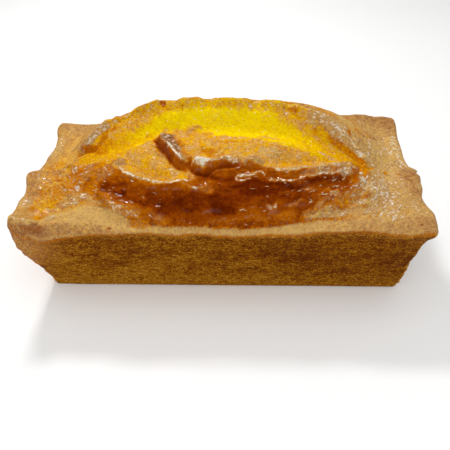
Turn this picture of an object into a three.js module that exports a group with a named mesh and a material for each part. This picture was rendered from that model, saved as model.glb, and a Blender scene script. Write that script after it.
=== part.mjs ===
// Pound cake loaf: one closed solid of baked cake, as turned out of a loaf tin.
// Millimetres, +Z up, +X along the loaf, -Y the long side in front. The origin is the centre of the flat base.
//
// The solid has three skins that share their edges:
//   top   a grid laid over the rounded rectangle of the rim, lifted by topShape()
//   wall  rings from the rim down to the base, tapered like the tin, flared and dented at the corners
//   base  a flat floor
import * as THREE from "three";

// ---------------------------------------------------------------- driving sizes
const TOP_LENGTH = 254; // rim, outside
const TOP_WIDTH = 112;
const BASE_LENGTH = 242; // base, before its small edge chamfer
const BASE_WIDTH = 91.6;
const RIM_HEIGHT = 66.5; // mean level of the crust just inside the rim
const EDGE_HEIGHT = 62.5; // mean level of the sharp edge that the tin left round the rim
const BASE_CORNER_RADIUS = 5;
const BASE_CHAMFER = 1;
const CORNER_RADIUS = { fl: 6, fr: 3.5, br: 14, bl: 13 }; // rim corners: front or back, left or right

const A = TOP_LENGTH / 2;
const B = TOP_WIDTH / 2;

// The crests are drawn this much broader and leaning this much less than baked, so that the facets can carry them.
const BROADEN = 1.22;
const LEAN = 0.6;

// mesh density
const NX = 78; // cells along the top
const NY = 43; // cells across the top
const WALL_LEVELS = [0.022, 0.24, 0.48, 0.7, 0.88]; // rings, as shares of the height under the rim

// The dome, as longitudinal lines. y: where the line runs. shelf: its level at the ends of the loaf,
// where nothing has risen. peak: its level in the middle. left, right: how far it stays raised from the
// dome's middle, as a share of the whole dome's reach.
const DOME_MIDDLE = -10;
const DOME_REACH_LEFT = 100;
const DOME_REACH_RIGHT = 125;
const LINES = [
  { y: -B, shelf: EDGE_HEIGHT, peak: EDGE_HEIGHT + 0.5, left: 1, right: 1 },
  { y: -50, shelf: RIM_HEIGHT - 0.5, peak: 68, left: 0.8, right: 0.8 },
  { y: -35, shelf: RIM_HEIGHT, peak: 83.5, left: 0.9, right: 0.865 },
  { y: -20, shelf: RIM_HEIGHT, peak: 90.5, left: 0.95, right: 0.93 },
  { y: 2, shelf: RIM_HEIGHT - 0.5, peak: 95.5, left: 1, right: 0.96 },
  { y: 15, shelf: RIM_HEIGHT, peak: 104.6, left: 1, right: 1 },
  { y: 24, shelf: RIM_HEIGHT + 0.3, peak: 105, left: 1, right: 1 },
  { y: 33, shelf: RIM_HEIGHT + 0.5, peak: 99.2, left: 0.98, right: 0.99 },
  { y: 44, shelf: RIM_HEIGHT + 1, peak: 91, left: 0.95, right: 0.97 },
  { y: B, shelf: RIM_HEIGHT - 0.5, peak: 67, left: 1, right: 1 },
];

// ---------------------------------------------------------------- small maths
const clamp = (x, lo, hi) => Math.min(hi, Math.max(lo, x));
const smooth = (a, b, x) => {
  const t = clamp((x - a) / (b - a), 0, 1);
  return t * t * (3 - 2 * t);
};
const bell = (x, centre, width) => Math.exp(-(((x - centre) / width) ** 2));
const lerp = (a, b, t) => a + (b - a) * t;

// Monotone cubic through (xs, ys), so a line between two levels never overshoots either.
function monotone(xs, ys, x) {
  const n = xs.length;
  if (x <= xs[0]) return ys[0];
  if (x >= xs[n - 1]) return ys[n - 1];
  const d = [],
    m = [];
  for (let i = 0; i < n - 1; i++) d[i] = (ys[i + 1] - ys[i]) / (xs[i + 1] - xs[i]);
  m[0] = d[0];
  m[n - 1] = d[n - 2];
  for (let i = 1; i < n - 1; i++) {
    if (d[i - 1] * d[i] <= 0) m[i] = 0;
    else {
      const w1 = 2 * (xs[i + 1] - xs[i]) + (xs[i] - xs[i - 1]);
      const w2 = xs[i + 1] - xs[i] + 2 * (xs[i] - xs[i - 1]);
      m[i] = (w1 + w2) / (w1 / d[i - 1] + w2 / d[i]);
    }
  }
  let i = 0;
  while (x > xs[i + 1]) i++;
  const h = xs[i + 1] - xs[i],
    t = (x - xs[i]) / h,
    t2 = t * t,
    t3 = t2 * t;
  return (
    ys[i] * (2 * t3 - 3 * t2 + 1) +
    m[i] * h * (t3 - 2 * t2 + t) +
    ys[i + 1] * (-2 * t3 + 3 * t2) +
    m[i + 1] * h * (t3 - t2)
  );
}

// ---------------------------------------------------------------- the dome
function domeShare(x, line) {
  const dx = x - DOME_MIDDLE;
  const s =
    dx < 0
      ? Math.abs(dx) / (DOME_REACH_LEFT * line.left)
      : dx / (DOME_REACH_RIGHT * line.right);
  if (s >= 1) return 0;
  return (1 - s ** (dx < 0 ? 2.5 : 3.5)) ** 1.25;
}

function domeZ(x, y) {
  const ys = LINES.map((l) => l.y);
  const zs = LINES.map((l) => lerp(l.shelf, l.peak, domeShare(x, l)));
  return monotone(ys, zs, y);
}

// ---------------------------------------------------------------- the rim
// How far the crust just inside the rim stands above or below its mean level, by side. It climbs where the
// batter ran up the tin and sags between.
const rimLeft = (y) =>
  6 * bell(y, -9, 8) - 3 * bell(y, 19, 13) + 3.5 * bell(y, 52, 10) + 3.5 * bell(y, -32, 9) + 5 * bell(y, -51, 9);
const rimRight = (y) =>
  4.5 * bell(y, -8, 6) - 2.5 * bell(y, 20, 16) + 4.5 * bell(y, 52, 8) - 1.5 * bell(y, -33, 7) + 1.5 * bell(y, -51, 8);
const rimBack = (x) => 3 + 7.6 * bell(x, 101, 21) + bell(x, -115, 12) + 1.2 * bell(x, 116, 4);
const rimFront = (x) =>
  4.5 * bell(x, -120, 9) + 1.5 * bell(x, 62, 30) + 2.6 * bell(x, 88, 19) + 2 * bell(x, 122, 6);

// The tin's edge line itself, round the rim.
const edgeDrop = {
  front: (x) =>
    2.8 + 8.4 * bell(x, -112, 14) + 1.9 * bell(x, -88, 9) - 2 * bell(x, -56, 13) + 0.9 * bell(x, -26, 5) + 0.7 * bell(x, 14, 30) -
    bell(x, 30, 7) + bell(x, 47, 8) - 0.8 * bell(x, 69, 7) - 2.8 * bell(x, 84, 18) - bell(x, 104, 10),
  back: () => 3,
  left: (y) => 3 + 4 * bell(y, -54, 8),
  right: () => 2.6,
};

// How far the rim bulges out past its straight outline.
const bulgeLeft = (y) =>
  2 * bell(y, -9, 8) - 0.2 * bell(y, 18, 9) - 3.4 * smooth(20, 32, y) + 2 * smooth(38, 49, y) + 0.8 * bell(y, -50, 7);
const bulgeRight = (y) =>
  2.4 * bell(y, 0.5, 4.6) + 3.2 * bell(y, 5.2, 2.6) + 0.6 * bell(y, -8, 4) + 1.2 * bell(y, -16.5, 4.5) + 2.2 * bell(y, -38, 8) -
  0.6 * bell(y, 20, 11) - bell(y, 44, 8) - 1.4 * bell(y, -25, 6) - 0.3 * bell(y, -52, 4);
const bulgeFront = (x) => 0.7 * Math.sin(x / 13) + 0.5 * Math.sin(x / 5.3 + 1);
const bulgeBack = (x) => 0.8 * Math.sin(x / 11 + 2) + 1.5 * bell(x, 100, 18);

// ---------------------------------------------------------------- crack, lips and folds of the crust
// Each is a ridge (height above zero) or a groove (below zero) along a short curve in plan, with the width
// of its front and back flank, and how far its crest leans out over its front. It fades out towards its ends.
const FEATURES = [
  // the split that runs the length of the dome
  { name: "crack", height: -3.2, front: 7, back: 6, lean: 0, path: [[-96, -1], [-70, -1], [-40, 5], [0, 6], [40, 2], [70, -7], [93, -10]] },
  // the broken edge of the crust behind the split
  { name: "back_lip", height: 5, front: 3, back: 3.4, lean: 1.4, path: [[-104, 10], [-92, 17], [-80, 20], [-62, 20], [-30, 20], [10, 19], [45, 17], [70, 12], [84, 6]] },
  // the rolled edge of the crust in front, left of the flap, and the hollow behind it
  { name: "front_lip", height: 2.9, front: 3.2, back: 2.2, lean: 0.9, path: [[-63.6, -19], [-61.6, -22.4], [-59, -24.9], [-55.8, -27.3], [-51.2, -30.2], [-45.5, -32.5], [-38.5, -34.5], [-31.5, -35.4], [-23, -35], [-16, -32.5]] },
  { name: "front_gap", height: -2.2, front: 2.2, back: 4.2, lean: 0, path: [[-63, -5], [-59, -15], [-50, -25], [-40, -30], [-26, -31.5]] },
  // the flap of crust that curled up out of the split
  { name: "flap", height: 3.8, front: 2.3, back: 3.2, lean: 1.1, path: [[-38.6, 0.4], [-37.6, -4], [-34.8, -9.6], [-31, -13.8], [-27.4, -18], [-23.4, -21.6], [-18.6, -24.2]] },
  { name: "flap_back", height: 2.8, front: 3.6, back: 2.8, lean: 0.4, path: [[-38.4, 3.4], [-34.6, -0.4], [-30.8, -5.4], [-27.2, -10.4], [-24.4, -15]] },
  { name: "flap_foot", height: -2.4, front: 3.4, back: 1.9, lean: 0, path: [[-41.2, -4], [-39.8, -8.8], [-36.8, -15], [-31.6, -20], [-25.6, -23.8], [-20.4, -27.6]] },
  // the crust's edge right of the flap, in three steps
  { name: "mid_lip", height: 3.2, front: 2.3, back: 3.4, lean: 0.8, path: [[-17.4, -24], [-12.6, -23.8], [-8, -23.8], [-4, -23], [0, -22.2], [4, -21.6], [8, -22.2], [12.5, -24]] },
  { name: "mid_crease", height: -2.2, front: 2, back: 2, lean: 0, path: [[-19, -27.8], [-13.6, -29], [-9.4, -29.2], [-6.2, -27.8], [-3, -26.6], [0.5, -25.8], [5.3, -25.1], [9.6, -24.6], [12.8, -23.6]] },
  { name: "knob", height: 2.4, front: 2, back: 2.6, lean: 0.6, path: [[12.4, -24.6], [15.2, -22.8], [19.2, -21.4], [22.8, -21.9], [25.2, -24.6]] },
  { name: "right_lip", height: 3.2, front: 2.8, back: 2.6, lean: 1, path: [[20, -25.5], [28, -28], [38, -28], [46, -26.2], [55, -24.6], [63, -21.5], [71, -19], [78, -16], [83, -12.6]] },
  { name: "right_gap", height: -1.6, front: 2, back: 4, lean: 0, path: [[24, -20], [38, -22], [54, -18.5], [68, -13], [76, -7]] },
  // folds that the rising crust pushed forward
  { name: "fold_1", height: 2, front: 2.4, back: 1.5, lean: 0.7, path: [[-9.6, -32], [-7, -30.4], [-4, -28.6], [0, -27.5], [4.4, -26.9], [8, -26.4], [11.4, -25.4], [14.6, -24.5]] },
  { name: "fold_2", height: 2.4, front: 2.6, back: 1.7, lean: 0.9, path: [[26, -32.6], [31, -33.4], [38, -33.8], [44, -32.2], [50, -30.4], [57, -27.9], [63, -26.2], [70, -23.6], [76, -21], [81, -16.5]] },
  { name: "fold_3", height: 1.9, front: 2.4, back: 2.2, lean: 0.5, path: [[-79, -29], [-73, -36], [-65, -41.6], [-57, -44.6], [-48, -46.2], [-38, -46.8], [-28, -47.4]] },
  { name: "fold_4", height: 1.6, front: 2.4, back: 3, lean: 0.5, path: [[-24, -46.5], [-8, -44.8], [8, -44.6], [28, -43.6], [46, -41], [66, -36.6], [80, -29], [88, -22]] },
  { name: "foot_fold", height: -1.7, front: 3.4, back: 2.8, lean: 0, path: [[-86, -34], [-76, -40], [-62, -46.6], [-36, -50.2], [0, -51.8], [30, -50], [60, -45.5], [88, -36]] },
  // hollow behind the front left corner, and creases on the right shelf
  { name: "left_hollow", height: -3, front: 9, back: 8, lean: 0, path: [[-116, -20], [-113, -34], [-106, -43]] },
  { name: "right_crease", height: -1.4, front: 3, back: 3, lean: 0, path: [[88, -40], [98, -33], [108, -30]] },
  { name: "right_ridge", height: 1.6, front: 3, back: 3, lean: 0, path: [[84, -32], [95, -27], [104, -18]] },
  // the torn lip at the split's left end
  { name: "left_lip", height: 3.2, front: 3, back: 3.8, lean: 1.3, path: [[-101, 11], [-95, 14.6], [-88.5, 16.4], [-80, 18.4], [-68, 20.5]] },
  // the crust's edge at the split's right end, with the hollow in front of it, and the rolled front left corner
  { name: "end_lip", height: 2.4, front: 1.8, back: 3.8, lean: 1.1, path: [[57, 12.4], [66, 10.4], [74, 8.4], [81, 5.6], [88, 2.2], [93.6, -0.6], [96, -4]] },
  { name: "end_gap", height: -2, front: 2.4, back: 1.6, lean: 0, path: [[57, 7.4], [66, 5.4], [74, 2.8], [81, -0.8], [87, -4.8], [92, -9]] },
  { name: "corner_roll", height: 2.4, front: 2.2, back: 3, lean: 0.4, path: [[-124, -40], [-119.5, -47.4], [-111, -51], [-98, -52], [-84, -49]] },
];
// how gently some of them start and end, as shares of their length
const ENDS = {
  flap: [0.2, 0.3],
  knob: [0.3, 0.3],
  front_lip: [0.16, 0.2],
  mid_lip: [0.1, 0.2],
  right_lip: [0.16, 0.14],
  fold_2: [0.2, 0.12],
  back_lip: [0.2, 0.14],
  left_lip: [0.12, 0.5],
  corner_roll: [0.1, 0.4],
};
// dips in the broken edge behind the split: place along the loaf, depth as a share, half width
const DIPS = [
  [-38, 0.6, 2.4],
  [-9, 0.4, 4],
  [22, 0.6, 3.4],
  [42, 0.45, 4],
  [-66.5, 0.45, 3.2],
];
const tornEdge = (x) => 1 - DIPS.reduce((sum, [at, depth, half]) => sum + depth * bell(x, at, half), 0);
// soft swellings: centre, radius along and across the loaf, height
const SWELLINGS = [
  { name: "inner_bulge", at: [14, -11], radius: [52, 9], height: 3.4 },
  { name: "left_bulge", at: [-52, -14], radius: [14, 11], height: 1.6 },
  { name: "brown_belly", at: [-5, -41], radius: [55, 7], height: 1.8 },
  { name: "left_crust", at: [-78, -16], radius: [9, 12], height: 2.4 },
  { name: "left_shelf", at: [-104, 20], radius: [13, 16], height: -1.6 },
  { name: "right_shelf", at: [108, 12], radius: [13, 22], height: -1.2 },
  { name: "back_dent", at: [30, 36], radius: [16, 9], height: -1.4 },
  { name: "back_swell", at: [-40, 36], radius: [26, 10], height: 1.6 },
  { name: "mid_lip_head", at: [-11.5, -24], radius: [4.4, 2.6], height: 1.3 },
  { name: "front_lip_curl", at: [-62.8, -17.4], radius: [3.4, 3], height: 2.2 },
  { name: "flap_tip", at: [-38.8, -0.6], radius: [3, 2.8], height: 1.6 },
  { name: "right_lip_end", at: [81, -13.5], radius: [5, 4], height: 1.6 },
  { name: "right_lip_knob", at: [77, -19.5], radius: [6.5, 6], height: 1.8 },
  { name: "back_right_swell", at: [60, 33], radius: [26, 9], height: 1.4 },
  { name: "back_edge_left", at: [-41.5, 24], radius: [4.5, 6], height: 1.2 },
  { name: "back_edge_notch", at: [-32.5, 24], radius: [4, 6], height: -0.9 },
  { name: "back_edge_right", at: [35.5, 26], radius: [4, 6], height: 0.7 },
  { name: "back_edge_slope", at: [-65, 21], radius: [8, 7], height: -1.5 },
  { name: "crumb_swell", at: [34, -15], radius: [7, 5], height: 1.2 },
  { name: "crumb_hollow", at: [-44, -16], radius: [5, 5], height: -0.8 },
];

// Turns each path into a smooth curve of short straight steps once.
for (const f of FEATURES) {
  const curve = new THREE.CatmullRomCurve3(
    f.path.map(([x, y]) => new THREE.Vector3(x, y, 0)),
    false,
    "centripetal",
  );
  f.steps = curve.getSpacedPoints(48).map((p) => [p.x, p.y]);
}

// How much of feature f stands at (x, y), from 0 to 1, and the direction from its curve to its back.
function featureAt(f, x, y) {
  let best = Infinity,
    side = 1,
    along = 0,
    back = [0, 1];
  const n = f.steps.length - 1;
  for (let i = 0; i < n; i++) {
    const [ax, ay] = f.steps[i],
      [bx, by] = f.steps[i + 1];
    const ux = bx - ax,
      uy = by - ay,
      length = Math.hypot(ux, uy);
    const t = clamp(((x - ax) * ux + (y - ay) * uy) / length ** 2, 0, 1);
    const dx = x - ax - ux * t,
      dy = y - ay - uy * t,
      d = Math.hypot(dx, dy);
    if (d < best) {
      best = d;
      side = (ux * dy - uy * dx) / length / Math.max(d, 1e-6); // 1 squarely behind the curve, -1 in front
      along = (i + t) / n;
      back = [-uy / length, ux / length];
    }
  }
  const s = best / (BROADEN * lerp(f.front, f.back, 0.5 + 0.5 * side));
  const [first, last] = ENDS[f.name] ?? [0.16, 0.16];
  const fade = smooth(0, first, along) * smooth(1, 1 - last, along) * 0.94 + 0.06;
  const broken = f.name === "back_lip" ? tornEdge(x) : 1;
  return { share: fade * broken * Math.exp(-s * s), back };
}

// ---------------------------------------------------------------- the top skin
function insideRim(x, y) {
  return { front: y + B, back: B - y, left: x + A, right: A - x };
}

// Level of the top, and how far the point is carried along by leaning crests.
function topShape(x, y) {
  const d = insideRim(x, y);
  let z = domeZ(x, y),
    leanX = 0,
    leanY = 0;
  const near = (q) => Math.exp(-((Math.max(q, 0) / 9) ** 2));
  z += rimLeft(y) * near(d.left) + rimRight(y) * near(d.right);
  z += rimBack(x) * near(d.back) * (1 - 0.6 * near(d.left)) + rimFront(x) * near(d.front) * 0.8;
  for (const f of FEATURES) {
    const { share, back } = featureAt(f, x, y);
    z += f.height * share;
    leanX -= back[0] * LEAN * f.lean * share;
    leanY -= back[1] * LEAN * f.lean * share;
  }
  for (const s of SWELLINGS)
    z += s.height * bell(x, s.at[0], s.radius[0]) * bell(y, s.at[1], s.radius[1]);
  // the shoulder that rounds off to the tin's edge line
  const shoulder = (q, drop, reach) => drop * Math.exp(-Math.max(q, 0) / reach);
  const frontReach = 2.4 + 4.5 * bell(x, -108, 18);
  const drops = [
    shoulder(d.front, edgeDrop.front(x) - 2.2, frontReach),
    shoulder(d.back, edgeDrop.back(x), 2.6),
    shoulder(d.left, edgeDrop.left(y), 2.4),
    shoulder(d.right, edgeDrop.right(y), 2.2),
  ];
  return [z - Math.max(...drops), leanX, leanY];
}

// (s, t) from -1 to 1 each way, to a place on the rim's rounded rectangle and how far it bulges.
function planOf(s, t) {
  let x = A * s,
    y = B * t;
  const r = CORNER_RADIUS[(t < 0 ? "f" : "b") + (s < 0 ? "l" : "r")];
  const ax = Math.abs(x) - (A - r),
    ay = Math.abs(y) - (B - r);
  if (ax > 0 && ay > 0) {
    // the corner's square becomes a quarter of a disc
    const u = ax / r,
      v = ay / r;
    x = Math.sign(x) * (A - r + r * u * Math.sqrt(1 - (v * v) / 2));
    y = Math.sign(y) * (B - r + r * v * Math.sqrt(1 - (u * u) / 2));
  }
  const d = insideRim(x, y);
  const near = (q) => Math.exp(-Math.max(q, 0) / 9);
  const px =
    x - bulgeLeft(y) * near(d.left) + bulgeRight(y) * near(d.right);
  const py =
    y - bulgeFront(x) * near(d.front) * 0.8 + bulgeBack(x) * near(d.back) * 0.8;
  return [px, py, x, y];
}

function topPoint(s, t) {
  const [px, py, x, y] = planOf(s, t);
  const [z, leanX, leanY] = topShape(x, y);
  return [px + leanX, py + leanY, z];
}

// ---------------------------------------------------------------- the wall
function baseOutline(s, t) {
  // the same station on the base's own rounded rectangle
  const a = BASE_LENGTH / 2,
    b = BASE_WIDTH / 2,
    r = BASE_CORNER_RADIUS;
  let x = a * s,
    y = b * t;
  const ax = Math.abs(x) - (a - r),
    ay = Math.abs(y) - (b - r);
  if (ax > 0 && ay > 0) {
    const u = ax / r,
      v = ay / r;
    x = Math.sign(x) * (a - r + r * u * Math.sqrt(1 - (v * v) / 2));
    y = Math.sign(y) * (b - r + r * v * Math.sqrt(1 - (u * u) / 2));
  }
  return [x, y];
}

// How far the wall stands out of the straight line between base and rim, at height share h.
function wallOut(x, y, h) {
  const corner = (cx, cy) => bell(x, cx, 13) * bell(y, cy, 11);
  let out = 0.5 * Math.sin(x / 17 + 1.3) * Math.sin(Math.PI * h) + 0.4 * Math.sin(y / 9 + x / 40) * Math.sin(Math.PI * h);
  // front left: thick and rounded from a third of the height up, drawn in at the foot
  out += corner(-A, -B) * (4.2 * smooth(0.26, 0.74, h) * smooth(1.02, 0.7, h) + 0.6 * smooth(0.7, 1, h) - 1.6 * bell(h, 0.1, 0.16));
  // front right, and less so both back corners: hollow under a lip that flares out
  const flare = (dent, lip) => -dent * bell(h, 0.74, 0.16) + lip * bell(h, 0.95, 0.07);
  out += corner(A, -B) * (flare(2.6, 1.6) - 2.2 * bell(h, 0.46, 0.16));
  out += corner(A, B) * flare(1.6, 1.2) + corner(-A, B) * flare(1.4, 1);
  return out;
}

// ---------------------------------------------------------------- build the mesh
const positions = [];
const faces = [];
const addVertex = (x, y, z) => positions.push(x, y, z) / 3 - 1;
const addQuad = (a, b, c, d) => faces.push(a, b, c, a, c, d);

// shares from -1 to 1, closer together where density is higher
function spread(cells, places, density) {
  const at = (q) => {
    let k = 0;
    while (q > places[k + 1]) k++;
    return lerp(density[k], density[k + 1], (q - places[k]) / (places[k + 1] - places[k]));
  };
  const run = [0];
  for (let k = 0; k < 2000; k++) run.push(run[k] + at(-1 + (k + 0.5) / 1000));
  const stations = [];
  for (let c = 0, k = 0; c <= cells; c++) {
    const goal = (run[2000] * c) / cells;
    while (k < 1999 && run[k + 1] < goal) k++;
    stations.push(clamp(-1 + (k + (goal - run[k]) / (run[k + 1] - run[k])) / 1000, -1, 1));
  }
  return stations;
}
const columns = spread(NX, [-1, -0.93, -0.8, 0.75, 0.85, 0.97, 1], [1, 0.85, 1, 1, 0.8, 0.8, 1]);
const rows = spread(NY, [-1, -0.95, -0.86, -0.2, 0.1, 0.45, 0.7, 1], [1.1, 1, 1.45, 1.35, 1, 0.9, 0.62, 0.7]);

// top grid
const top = [];
for (let j = 0; j <= NY; j++) {
  top[j] = [];
  for (let i = 0; i <= NX; i++) {
    const st = [columns[i], rows[j]];
    top[j][i] = { st, id: addVertex(...topPoint(...st)) };
  }
}
// each cell is split along its flatter diagonal, which follows the crests and creases
const climb = (p, q) => Math.abs(positions[p * 3 + 2] - positions[q * 3 + 2]);
for (let j = 0; j < NY; j++)
  for (let i = 0; i < NX; i++) {
    const [a, b, c, d] = [top[j][i].id, top[j][i + 1].id, top[j + 1][i + 1].id, top[j + 1][i].id];
    if (climb(a, c) <= climb(b, d)) addQuad(a, b, c, d);
    else addQuad(b, c, d, a);
  }

// the rim as one loop, counter-clockwise from above
const loop = [];
for (let i = 0; i < NX; i++) loop.push(top[0][i]);
for (let j = 0; j < NY; j++) loop.push(top[j][NX]);
for (let i = NX; i > 0; i--) loop.push(top[NY][i]);
for (let j = NY; j > 0; j--) loop.push(top[j][0]);

const wallPoint = ([s, t], rimPoint, h) => {
  const [bx, by] = baseOutline(s, t);
  const [rx, ry, rz] = rimPoint;
  const x = lerp(bx, rx, h),
    y = lerp(by, ry, h);
  const nx = x / A ** 4 * Math.abs(x) ** 2,
    ny = y / B ** 4 * Math.abs(y) ** 2;
  const n = Math.hypot(nx, ny) || 1;
  const out = h >= 1 ? 0 : wallOut(rx, ry, h);
  return [x + (nx / n) * out, y + (ny / n) * out, rz * h];
};

let upper = loop.map((p) => p.id);
for (const h of [...WALL_LEVELS].reverse()) {
  const lower = loop.map((p) => {
    const rim = positions.slice(p.id * 3, p.id * 3 + 3);
    return addVertex(...wallPoint(p.st, rim, h));
  });
  loop.forEach((_, i) => {
    const n = (i + 1) % loop.length;
    addQuad(lower[i], lower[n], upper[n], upper[i]);
  });
  upper = lower;
}

// base: the chamfer's foot, and a flat rectangle in the middle that the foot fans out to
const foot = loop.map((p) => {
  const [bx, by] = baseOutline(...p.st);
  const sx = 1 - BASE_CHAMFER / (BASE_LENGTH / 2),
    sy = 1 - BASE_CHAMFER / (BASE_WIDTH / 2);
  return addVertex(bx * sx, by * sy, 0);
});
loop.forEach((_, i) => {
  const n = (i + 1) % loop.length;
  addQuad(foot[i], foot[n], upper[n], upper[i]);
});
const middle = [
  [-1, -1],
  [1, -1],
  [1, 1],
  [-1, 1],
].map(([i, j]) => addVertex(i * BASE_LENGTH * 0.32, j * BASE_WIDTH * 0.28, 0));
const quadrant = (id) => {
  const x = positions[id * 3],
    y = positions[id * 3 + 1];
  return y < 0 ? (x < 0 ? 0 : 1) : x < 0 ? 3 : 2;
};
loop.forEach((_, i) => {
  const n = (i + 1) % loop.length;
  const q = quadrant(foot[i]),
    r = quadrant(foot[n]);
  faces.push(foot[n], foot[i], middle[q]);
  if (q !== r) faces.push(foot[n], middle[q], middle[r]);
});
faces.push(middle[0], middle[2], middle[1], middle[0], middle[3], middle[2]);

const geometry = new THREE.BufferGeometry();
geometry.setAttribute("position", new THREE.Float32BufferAttribute(positions, 3));
geometry.setIndex(faces);
geometry.computeVertexNormals();

const loaf = new THREE.Mesh(
  geometry,
  new THREE.MeshStandardMaterial({ color: 0xb9782e, roughness: 0.7, metalness: 0 }),
);
loaf.name = "loaf";

const group = new THREE.Group();
group.name = "pound_cake_loaf";
group.add(loaf);

export default group;
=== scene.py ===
"""Looks of the pound cake loaf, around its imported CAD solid.

The loaf is one piece of baked cake. Its surface is worked out here a second time, at about 0.75 mm, from the same
named sizes as the CAD solid, and then gets what is too fine for that solid: the curled lips of the crust, its folds
and wrinkles, the torn crumb in the split, and the pores of the sides that the tin pressed. The mesh carries a few
numbers for each point (how far it is baked, how dusty, how glossy), and the material turns them into colour.

Millimetres until the mesh is made, then metres. +Z up, -Y is the long side in front.
"""

import bpy
import math
import numpy as np
from mathutils import Matrix, Vector


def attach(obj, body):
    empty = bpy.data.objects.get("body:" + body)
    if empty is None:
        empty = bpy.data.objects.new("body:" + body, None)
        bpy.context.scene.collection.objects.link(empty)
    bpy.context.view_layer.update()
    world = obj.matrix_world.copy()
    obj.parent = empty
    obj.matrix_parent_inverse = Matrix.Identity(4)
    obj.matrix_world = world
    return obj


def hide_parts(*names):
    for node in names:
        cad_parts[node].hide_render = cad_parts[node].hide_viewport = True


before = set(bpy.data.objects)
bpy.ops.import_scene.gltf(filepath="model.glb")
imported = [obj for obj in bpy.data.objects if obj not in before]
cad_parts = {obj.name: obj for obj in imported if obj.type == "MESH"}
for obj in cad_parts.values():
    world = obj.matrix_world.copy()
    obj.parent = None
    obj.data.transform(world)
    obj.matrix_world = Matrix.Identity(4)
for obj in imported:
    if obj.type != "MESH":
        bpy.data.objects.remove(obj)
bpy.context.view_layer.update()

# ------------------------------------------------------------------------------------------------ driving sizes (mm)
TOP_LENGTH, TOP_WIDTH = 254.0, 112.0  # rim, outside
BASE_LENGTH, BASE_WIDTH = 242.0, 91.6
EDGE_HEIGHT = 62.5
BASE_CORNER_RADIUS, BASE_CHAMFER = 5.0, 1.0
CORNER_RADIUS = {"fl": 6.0, "fr": 3.5, "br": 14.0, "bl": 13.0}
A, B = TOP_LENGTH / 2, TOP_WIDTH / 2

NX, NY = 344, 168  # cells along and across the top
WALL_ROWS = 33

DOME_MIDDLE, DOME_REACH_LEFT, DOME_REACH_RIGHT = -10.0, 100.0, 125.0
# y, level at the ends, level in the middle, reach to the left, reach to the right
LINES = [
    (-B, EDGE_HEIGHT, EDGE_HEIGHT + 0.5, 1, 1),
    (-50, 66, 68, 0.8, 0.8),
    (-35, 66.5, 83.5, 0.9, 0.865),
    (-20, 66.5, 90.5, 0.95, 0.93),
    (2, 66, 95.5, 1, 0.96),
    (15, 66.5, 104.6, 1, 1),
    (24, 66.8, 105.0, 1, 1),
    (33, 67, 99.2, 0.98, 0.99),
    (44, 67.5, 91.0, 0.95, 0.97),
    (B, 66, 67, 1, 1),
]


# ------------------------------------------------------------------------------------------------ small maths
def smooth(a, b, x):
    t = np.clip((np.asarray(x, float) - a) / (b - a), 0, 1)
    return t * t * (3 - 2 * t)


def bell(x, centre, width):
    return np.exp(-(((np.asarray(x, float) - centre) / width) ** 2))


def lerp(a, b, t):
    return a + (b - a) * t


def table(seed):
    rng = np.random.RandomState(seed)
    g = rng.normal(size=(4096, 3))
    return g / np.linalg.norm(g, axis=1)[:, None]


TABLE = table(7)


def hashed(i, j, k, seed):
    h = (i * 73856093) ^ (j * 19349663) ^ (k * 83492791) ^ (seed * 961748941)
    h = (h ^ (h >> 13)) * 1274126177 & 0x7FFFFFFF
    return h ^ (h >> 15)


def noise(p, scale, seed=0):
    """Smooth gradient noise, about -1 to 1. p: points (n, 3) in mm. scale: size of one cell, a number or three."""
    q = np.asarray(p, float) / np.asarray(scale, float) + 500.37
    i = np.floor(q).astype(np.int64)
    f = q - i
    w = f * f * f * (f * (f * 6 - 15) + 10)
    out = np.zeros(len(q))
    for dx in (0, 1):
        for dy in (0, 1):
            for dz in (0, 1):
                g = TABLE[hashed(i[:, 0] + dx, i[:, 1] + dy, i[:, 2] + dz, seed) & 4095]
                part = g[:, 0] * (f[:, 0] - dx) + g[:, 1] * (f[:, 1] - dy) + g[:, 2] * (f[:, 2] - dz)
                part = part * (w[:, 0] if dx else 1 - w[:, 0])
                part = part * (w[:, 1] if dy else 1 - w[:, 1])
                part = part * (w[:, 2] if dz else 1 - w[:, 2])
                out += part
    return out * 1.7


def fbm(p, scale, seed=0, octaves=3, gain=0.5):
    out, amount, total = 0, 1.0, 0.0
    scale = np.asarray(scale, float)
    for k in range(octaves):
        out = out + amount * noise(p, scale / 2**k, seed + 31 * k)
        total += amount
        amount *= gain
    return out / total


def pits(p, cell, radius, share, seed=0):
    """Round pits scattered one to a cell, in a share of the cells: 1 at a pit's middle, 0 outside it."""
    q = np.asarray(p, float) / np.asarray(cell, float) + 300.21
    i = np.floor(q).astype(np.int64)
    out = np.zeros(len(q))
    for dx in (-1, 0, 1):
        for dy in (-1, 0, 1):
            for dz in (-1, 0, 1):
                c = i + (dx, dy, dz)
                h = [hashed(c[:, 0], c[:, 1], c[:, 2], seed + n) / 0x7FFFFFFF for n in (1, 2, 3, 4, 5)]
                centre = c + np.stack([0.15 + 0.7 * h[0], 0.15 + 0.7 * h[1], 0.15 + 0.7 * h[2]], 1)
                d = np.linalg.norm((q - centre) * np.asarray(cell, float), axis=1)
                r = radius * (0.5 + 0.8 * h[3])
                s = np.clip(1 - (d / r) ** 2, 0, 1) ** 1.5
                out = np.maximum(out, np.where(h[4] < share, s, 0))
    return out


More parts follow.
